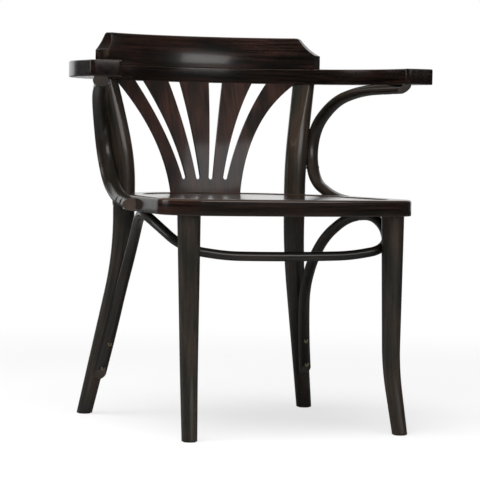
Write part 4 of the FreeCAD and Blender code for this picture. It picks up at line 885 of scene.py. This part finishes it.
def rod_surface(route, first, half_sizes, cups, cuts, reach):
    """An oval section carried along the route; cuts are the planes that trim both ends.

    Rows near an end start on its plane: each column begins where its own line meets the plane.
    half_sizes gives half the width and half the thickness for each distance along the rod.
    """
    along, places, ways = rod_line(route, [cup[0] for cup in cups])
    side = carry_frame(ways, first)[:, None]
    other = np.cross(ways[:, None], side)
    turn = np.linspace(0, 2 * np.pi, ROD_COLUMNS, endpoint=False)
    wide, thick = (half[:, None] for half in half_sizes(along))
    across, through = np.cos(turn) * wide, np.sin(turn) * thick
    points = places[:, None] + side * across[..., None] + other * through[..., None]
    for (index, sign), (spot, normal) in zip(((0, 1), (-1, -1)), cuts):
        way = ways[index] * sign
        travel = ((spot - points[index]) @ normal) / (way @ normal)
        from_end = np.abs(along - along[index])
        share = np.clip(1 - from_end / reach, 0, 1)
        points = points + travel[None, :, None] * share[:, None, None] * way
    grain = np.stack([along[:, None] + 0 * turn, across, through], axis=-1)
    worn = np.zeros(across.shape)
    worn[[0, -1]] = 1
    return push_cups(points, cups), grain, worn


def cut_plane(end, run, toward, back):
    """A plane behind a rod's end that looks half along the rod and half along toward."""
    return end - run * back, unit(run + toward)


# %% Arm supports
SUPPORT_ROUTE = np.array([
    (334, -64, 686.3),
    (289.2, 51.4, 681.5),
    (265.1, 131.2, 659.3),
    (243.3, 179, 607.2),
    (234, 183.6, 544.9),
    (231.9, 153.4, 486.6),
    (242.1, 75.8, 455.6),
    (261, -60.5, 443),
])
SUPPORT_WIDTH = 31.6
SUPPORT_THICKNESS = 22.2
SUPPORT_TRIM = 60
TOP_SCREWS = (0.33, 0.55)
SEAT_SCREWS = (0.35, 0.62)
SEAT_CUP_EXTRA = 0.7
POST_SCREW_CEILING = 545
UP = np.array([0, 0, 1])
RIGHT = np.array([1, 0, 0])
BACKWARD = np.array([0, 1, 0])


def nearest_cup(places, ways):
    """A cup at the place whose way to the leg is the shortest."""
    near = np.argmin(np.linalg.norm(ways, axis=1))
    return places[near], unit(ways[near]), 0


def post_cup(route, side):
    """The rod's lower point nearest to the post's upright line, and the level way to that line."""
    places = fine_line(route)
    places = places[places[:, 2] <= POST_SCREW_CEILING]
    ways = (mirrored((REAR_LEG_X, REAR_LEG_Y, 0), side) - places) * (RIGHT + BACKWARD)
    return nearest_cup(places, ways)


def support_cups(route, side):
    """Middle point, direction and extra depth of each screw through an arm support."""
    top = [(route[0] + (route[1] - route[0]) * share, UP, 0) for share in TOP_SCREWS]
    seat = [route[-2] + (route[-1] - route[-2]) * share for share in SEAT_SCREWS]
    return [*top, post_cup(route, side), *((place, -side * RIGHT, SEAT_CUP_EXTRA) for place in seat)]


def support_halves(along):
    return SUPPORT_WIDTH / 2 + 0 * along, SUPPORT_THICKNESS / 2 + 0 * along


for word, side in SIDES:
    route = mirrored(SUPPORT_ROUTE, side)
    run = unit(route[1] - route[0])
    tail = unit(route[-1] - route[-2])
    cuts = (
        cut_plane(route[0], -run, -UP, SUPPORT_WIDTH / 6),
        cut_plane(route[-1], tail, side * RIGHT, SUPPORT_WIDTH / 2),
    )
    cups = support_cups(route, side)
    surface = rod_surface(route, np.cross(run, UP), support_halves, cups, cuts, SUPPORT_TRIM)
    rod = add_tube(f"bent_arm_support_{word}", *surface)
    stands_for(rod, "rod_wood", f"arm_support_{word}")


# %% Brace hoop
HOOP_ROUTE = np.array([
    (235.3, 192.2, 72),
    (219, 168.7, 169),
    (207, 143, 262.3),
    (206.2, 100.5, 328.5),
    (212.3, 54.4, 377.5),
    (229.5, -12.8, 419),
    (247, -85.8, 427.8),
    (244.3, -150.2, 407.6),
    (227.2, -203.4, 378.3),
    (197.7, -227, 361),
    (131.2, -233.2, 351.1),
    (40, -239, 350),
])
HOOP_RADIUS = 9.3
HOOP_END_RADIUS = 12.6
HOOP_TRIM = 40
TAPER_BENDS = 8
APEX_CORNERS = [5, 6]
BRACE_SCREW_HEIGHTS = (97.9, 148.9)
FRONT_LEG_SHARE = 0.3


def front_leg_cup(side):
    """The rod's point nearest to the front leg's upper part, and the way to the leg."""
    ends = np.array([front_leg_line(z, side)[:2] + (z,) for z in (SEAT_UNDER, GLIDE_HEIGHT)])
    top, run = ends[0], (ends[1] - ends[0]) * FRONT_LEG_SHARE
    places = fine_line(mirrored(HOOP_ROUTE, side))
    share = np.clip((places - top) @ run / (run @ run), 0, 1)
    return nearest_cup(places, top + share[:, None] * run - places)


def hoop_cups():
    cups = [front_leg_cup(side) for _, side in SIDES]
    for _, side in SIDES:
        end, second = mirrored(HOOP_ROUTE[:2], side)
        for height in BRACE_SCREW_HEIGHTS:
            share = (height - end[2]) / (second[2] - end[2])
            cups.append((end + (second - end) * share, BACKWARD, 0))
        cups.append((mirrored(HOOP_ROUTE[APEX_CORNERS].mean(axis=0), side), UP, 0))
    return cups


def taper_length():
    """Distance along the rod from its end to the end of its eighth bend."""
    part = HOOP_ROUTE[: TAPER_BENDS + 2]
    back, ahead = np.linalg.norm(np.diff(part[-3:], axis=0), axis=1)
    return rod_line(part)[0][-1] - ahead + BEND_SHARE * min(back, ahead)


def hoop_halves(along):
    """Thick at both screwed ends, slim between the front legs, and round everywhere."""
    from_end = np.minimum(along, along[-1] - along)
    grown = np.clip(1 - from_end / taper_length(), 0, 1)
    radius = HOOP_RADIUS + (HOOP_END_RADIUS - HOOP_RADIUS) * grown
    return radius, radius


full_route = np.concatenate([HOOP_ROUTE, mirrored(HOOP_ROUTE[::-1], -1)])
hoop_cuts = [
    cut_plane(end, unit(end - second), -BACKWARD, HOOP_END_RADIUS)
    for end, second in (full_route[:2], full_route[:-3:-1])
]
surface = rod_surface(full_route, RIGHT, hoop_halves, hoop_cups(), hoop_cuts, HOOP_TRIM)
hoop = add_tube("bent_brace_hoop", *surface)
stands_for(hoop, "rod_wood", "brace_hoop")

# %% [markdown]
# ## Stained and lacquered beech
#
# Beech has a fine, even grain with short dark flecks. A dark stain soaks in unevenly, so the
# wood shows reddish brown streaks in near black, and the lacquer over it gives a soft shine.
# A picture of wood would have to be unwrapped round every bend, so the material mixes noises
# in the wood's own coordinates: long streaks, a broad mottling that turns reddish in places
# and fine flecks, all stretched along the grain. Rubbed edges are a little lighter, the shine
# varies with the streaks, and a thin coat of smoother lacquer lies over all.

# %% Wood material
# A noise is its stretch, scale and detail; a fade is where its darker colour gives way.
STREAKS, STREAK_FADE = ((7, 230, 230), 1, 6), (0.38, 0.66)
MOTTLING, MOTTLE_FADE = ((9, 26, 26), 1, 4), (0.4, 0.62)
FLECKS, FLECK_FADE = ((70, 1500, 1500), 1, 2), (0.36, 0.5)
FLECK_RELIEF = (0.12, 0.0002)
FLECK_DARK = (0.55, 0.52, 0.5)
FLECK_SHARE = 0.7
RED_PATCH = (1.35, 1.0, 0.92)
RUBBED = (0.12, 0.085, 0.065)
RUB_SHARES = (0.1, 0.5)
SATIN = (0.24, 0.38)
LACQUER = {"Coat Weight": 0.35, "Coat Roughness": 0.12}
EVEN = (1, 1, 1)
MIX_FACTOR, MIX_FIRST, MIX_SECOND, MIX_RESULT = 0, 6, 7, 2


def feed(tree, node, inputs):
    """Links another node's output to a socket, or writes a number or colour into it."""
    for name, value in inputs.items():
        socket = node.inputs[name]
        if isinstance(value, bpy.types.NodeSocket):
            tree.links.new(value, socket)
        else:
            socket.default_value = (*value, 1) if socket.type == "RGBA" else value


def add_node(tree, kind, inputs=(), **settings):
    node = tree.nodes.new(kind)
    for name, value in settings.items():
        setattr(node, name, value)
    feed(tree, node, dict(inputs))
    return node


def new_material(name):
    material = bpy.data.materials.new(name)
    material.use_nodes = True
    tree = material.node_tree
    return material, tree, tree.nodes["Principled BSDF"]


def object_place(tree):
    return add_node(tree, "ShaderNodeTexCoord").outputs["Object"]


def attribute(tree, name, output):
    return add_node(tree, "ShaderNodeAttribute", attribute_name=name).outputs[output]


def stretched_noise(tree, lie, stretch, scale, detail):
    """Noise that is drawn out along the grain: small steps along it, large ones across."""
    mapping = add_node(tree, "ShaderNodeMapping", {"Vector": lie, "Scale": stretch})
    inputs = {"Vector": mapping.outputs["Vector"], "Scale": scale, "Detail": detail}
    return add_node(tree, "ShaderNodeTexNoise", inputs).outputs["Fac"]


def colour_between(tree, factor, dark, light, low=0.35, high=0.65):
    ramp = add_node(tree, "ShaderNodeValToRGB", {"Fac": factor})
    for element, place, colour in zip(ramp.color_ramp.elements, (low, high), (dark, light)):
        element.position = place
        element.color = (*colour, 1)
    return ramp.outputs["Color"]


def mix_colours(tree, factor, first, second, mode="MIX"):
    mix = add_node(tree, "ShaderNodeMix", data_type="RGBA", blend_type=mode)
    feed(tree, mix, {MIX_FACTOR: factor, MIX_FIRST: first, MIX_SECOND: second})
    return mix.outputs[MIX_RESULT]


def calculated(tree, operation, first, second):
    inputs = {0: first, 1: second}
    return add_node(tree, "ShaderNodeMath", inputs, operation=operation).outputs["Value"]


def scaled(tree, value, low, high):
    """Maps 0 to 1 onto low to high."""
    inputs = {"Value": value, "To Min": low, "To Max": high}
    return add_node(tree, "ShaderNodeMapRange", inputs).outputs["Result"]


def relief(tree, height, strength, depth):
    inputs = {"Height": height, "Strength": strength, "Distance": depth}
    return add_node(tree, "ShaderNodeBump", inputs).outputs["Normal"]


def make_wood(name, dark, light, mottle, rough=SATIN, in_object=False):
    """Stained beech. Grain follows the bend, or the object's axes where a node has none."""
    material, tree, shader = new_material(name)
    lie = object_place(tree) if in_object else attribute(tree, "grain", "Vector")
    streaks = stretched_noise(tree, lie, *STREAKS)
    broad = stretched_noise(tree, lie, *MOTTLING)
    flecks = stretched_noise(tree, lie, *FLECKS)
    colour = colour_between(tree, streaks, dark, light, *STREAK_FADE)
    patches = colour_between(tree, broad, mottle, RED_PATCH, *MOTTLE_FADE)
    colour = mix_colours(tree, 1, colour, patches, "MULTIPLY")
    fleck_colour = colour_between(tree, flecks, FLECK_DARK, EVEN, *FLECK_FADE)
    colour = mix_colours(tree, FLECK_SHARE, colour, fleck_colour, "MULTIPLY")
    if not in_object:
        rub = scaled(tree, broad, *RUB_SHARES)
        wear = calculated(tree, "MULTIPLY", attribute(tree, "worn", "Fac"), rub)
        colour = mix_colours(tree, wear, colour, RUBBED)
    roughness, normal = scaled(tree, streaks, *rough), relief(tree, flecks, *FLECK_RELIEF)
    looks = {"Base Color": colour, "Roughness": roughness, "Normal": normal}
    feed(tree, shader, {**looks, **LACQUER})
    return material


def paint(piece, material):
    piece.data.materials.clear()
    piece.data.materials.append(material)


# %% Wood finishes
BLACK_BROWN = (0.003, 0.002, 0.0013)
WARM_BROWN = (0.022, 0.011, 0.007)
DARK_MOTTLE = (0.35, 0.4, 0.42)
SOFT_MOTTLE = (0.68, 0.72, 0.74)
BARE_MOTTLE = (1, 0.95, 0.9)
WOODS = {
    "rim_wood": (BLACK_BROWN, (0.024, 0.0135, 0.009), SOFT_MOTTLE, (0.18, 0.26)),
    "bow_wood": ((0.002, 0.0014, 0.0008), (0.014, 0.0075, 0.005), SOFT_MOTTLE, (0.2, 0.3)),
    "crest_wood": (BLACK_BROWN, (0.019, 0.0095, 0.0065), DARK_MOTTLE),
    "splat_wood": ((0.013, 0.0082, 0.006), (0.034, 0.0165, 0.0115), DARK_MOTTLE, (0.5, 0.65)),
    # Leg colours: the dark stain, lifted and greyed by painted sheen that stands in for the floor's
    # reflection along the legs.
    "leg_wood": ((0.015, 0.0145, 0.0108), (0.034, 0.03, 0.0225), SOFT_MOTTLE, (0.3, 0.42)),
    "rod_wood": ((0.011, 0.0105, 0.008), (0.022, 0.0195, 0.015), SOFT_MOTTLE, (0.28, 0.4)),
    "plug_wood": (BLACK_BROWN, WARM_BROWN, SOFT_MOTTLE, SATIN, True),
    "panel_wood": (BLACK_BROWN, WARM_BROWN, SOFT_MOTTLE, (0.17, 0.22), True),
    "dowel_wood": ((0.5, 0.34, 0.2), (0.68, 0.5, 0.32), BARE_MOTTLE, SATIN, True),
}
woods = {name: make_wood(name, *look) for name, look in WOODS.items()}
for piece, wood in dressed.values():
    paint(piece, woods[wood])
print("painted", len(dressed), "bent and turned pieces")

# %% [markdown]
# ## Metal and glides
#
# The screws are brass, dulled by the lacquer that was sprayed over them. Bolts, nuts and
# washers are zinc plated, with fine marks. The glides are moulded plastic with a fine grit.
# These small parts could be made again too, but the model's own solids are already right, so
# they only get a finish, with noise in its colour and roughness instead of one flat tone.

# %% Metal, plastic and the model's own nodes
def make_grainless(name, dark, light, rough, stains, marks, relief_sizes, metallic=0):
    """Two noises, each a scale and a detail: stains for the colour, marks for the relief."""
    material, tree, shader = new_material(name)
    stain, mark = (stretched_noise(tree, object_place(tree), EVEN, *n) for n in (stains, marks))
    looks = {
        "Base Color": colour_between(tree, stain, dark, light),
        "Roughness": scaled(tree, stain, *rough),
        "Normal": relief(tree, mark, *relief_sizes),
        "Metallic": metallic,
    }
    feed(tree, shader, looks)
    return material


METAL = (420, 4), (2400, 2), (0.15, 0.00005), 1
PLASTIC = (1500, 3), (1500, 3), (0.25, 0.0001)
GRAINLESS = {
    "brass": ((0.33, 0.27, 0.17), (0.55, 0.47, 0.32), (0.28, 0.45), *METAL),
    "steel": ((0.42, 0.42, 0.41), (0.62, 0.62, 0.6), (0.25, 0.42), *METAL),
    "glide": ((0.012, 0.011, 0.01), (0.02, 0.018, 0.016), (0.5, 0.7), *PLASTIC),
}
finishes = {**woods, **{name: make_grainless(name, *look) for name, look in GRAINLESS.items()}}
bare = [part for part in frame["record"]["subparts"] if part["node"] not in dressed]
for part in bare:
    paint(nodes[part["node"]], finishes[part["material_slot"]])
print("painted", len(bare), "nodes of the model")

# %% [markdown]
# ## Studio
#
# The photograph has a white sweep with a very faint shadow. The floor is a pale plane whose
# own white fades into the white that the camera sees behind it, so no horizon shows. A white
# backdrop stands behind the chair: it shines in the lacquer wherever the eye meets a surface
# at a low angle, which whitens the seat and draws the bright lines along the edges. The room
# on the camera's side is dim, so the faces that look forward stay nearly black. One large
# softbox hangs above, and three weaker ones stand to the left behind, in front and beside
# the camera. The lacquer mirrors only the ones to the left and in front.

# %% Floor, backdrop and world
FLOOR_HALF = 20
PALE = {"Base Color": (0.86, 0.86, 0.86), "Roughness": 0.9}
FLOOR_SHINE = (0.15, 0.15, 0.15)
FLOOR_GLOW = {"From Min": 0.9, "From Max": 2.6, "To Min": 0.7, "To Max": 1}
BACKDROP_PLACE = 7.5
BACKDROP_ENDS = (-1.8, 10.5)
BACKDROP_HEIGHT = 7.5
WORLD_LEVEL = 0.05


def ray_is(tree, kind):
    return add_node(tree, "ShaderNodeLightPath").outputs[f"Is {kind} Ray"]


def stage_plane(name, corners):
    """A flat stage object; returns its node tree and its shader."""
    mesh = bpy.data.meshes.new(name)
    mesh.from_pydata(corners, [], [(0, 1, 2, 3)])
    material, tree, shader = new_material(name)
    mesh.materials.append(material)
    add_object(name, mesh)
    feed(tree, shader, PALE)
    return tree, shader


def glow_over(tree, shader, share):
    """White light takes this share of the surface's look."""
    glow = add_node(tree, "ShaderNodeEmission")
    inputs = {0: share, 1: shader.outputs["BSDF"], 2: glow.outputs["Emission"]}
    mix = add_node(tree, "ShaderNodeMixShader", inputs)
    feed(tree, tree.nodes["Material Output"], {"Surface": mix.outputs["Shader"]})


def make_floor():
    """The floor glows fully for the camera far from the chair, and only partly near it."""
    near, far = -FLOOR_HALF, FLOOR_HALF
    corners = [(near, near, 0), (far, near, 0), (far, far, 0), (near, far, 0)]
    tree, shader = stage_plane("studio_floor", corners)
    away = add_node(tree, "ShaderNodeVectorMath", {0: object_place(tree)}, operation="LENGTH")
    fade = add_node(tree, "ShaderNodeMapRange", FLOOR_GLOW, interpolation_type="SMOOTHSTEP")
    feed(tree, fade, {"Value": away.outputs["Value"]})
    camera = ray_is(tree, "Camera")
    glow_over(tree, shader, calculated(tree, "MULTIPLY", camera, fade.outputs["Result"]))
    tone = mix_colours(tree, ray_is(tree, "Glossy"), PALE["Base Color"], FLOOR_SHINE)
    feed(tree, shader, {"Base Color": tone})


def make_backdrop():
    """A white wall for the camera and for what shines in the lacquer."""
    (left, right), y, top = BACKDROP_ENDS, BACKDROP_PLACE, BACKDROP_HEIGHT
    corners = [(left, y, 0), (right, y, 0), (right, y, top), (left, y, top)]
    tree, shader = stage_plane("studio_backdrop", corners)
    either = calculated(tree, "MAXIMUM", ray_is(tree, "Camera"), ray_is(tree, "Glossy"))
    glow_over(tree, shader, either)


def make_world():
    """Dim light for the chair, white for the camera."""
    world = bpy.data.worlds.new("studio")
    bpy.context.scene.world = world
    world.use_nodes = True
    tree = world.node_tree
    level = scaled(tree, ray_is(tree, "Camera"), WORLD_LEVEL, 1)
    feed(tree, tree.nodes["Background"], {"Strength": level, "Color": EVEN})


make_floor()
make_backdrop()
make_world()

# %% Lamps
LAMPS = (
    ("box_above", (-1.0, -0.7, 3.4), (2.8, 2.8), 195, False),
    ("box_left", (-3.2, 1.6, 1.4), (1.6, 1.6), 14, True),
    ("box_in_front", (1.0, -3.45, 2.0), (2.6, 1.2), 34, True),
    ("box_by_the_camera", (-2.1, -3.2, 2.3), (1.8, 1.4), 26, False),
)
AIM = Vector((0, 0, 0.45))


def add_lamp(name, place, size, watts, shines):
    """A softbox that looks at the chair's middle; shines: the lacquer mirrors it."""
    light = bpy.data.lights.new(name, "AREA")
    light.shape = "RECTANGLE"
    light.size, light.size_y = size
    light.energy = watts
    lamp = add_object(name, light)
    lamp.location = place
    lamp.visible_glossy = shines
    lamp.rotation_euler = (AIM - Vector(place)).to_track_quat("-Z", "Y").to_euler()


for lamp in LAMPS:
    add_lamp(*lamp)
bpy.context.scene.view_settings.view_transform = "Standard"
print("lit by", len(LAMPS), "softboxes")
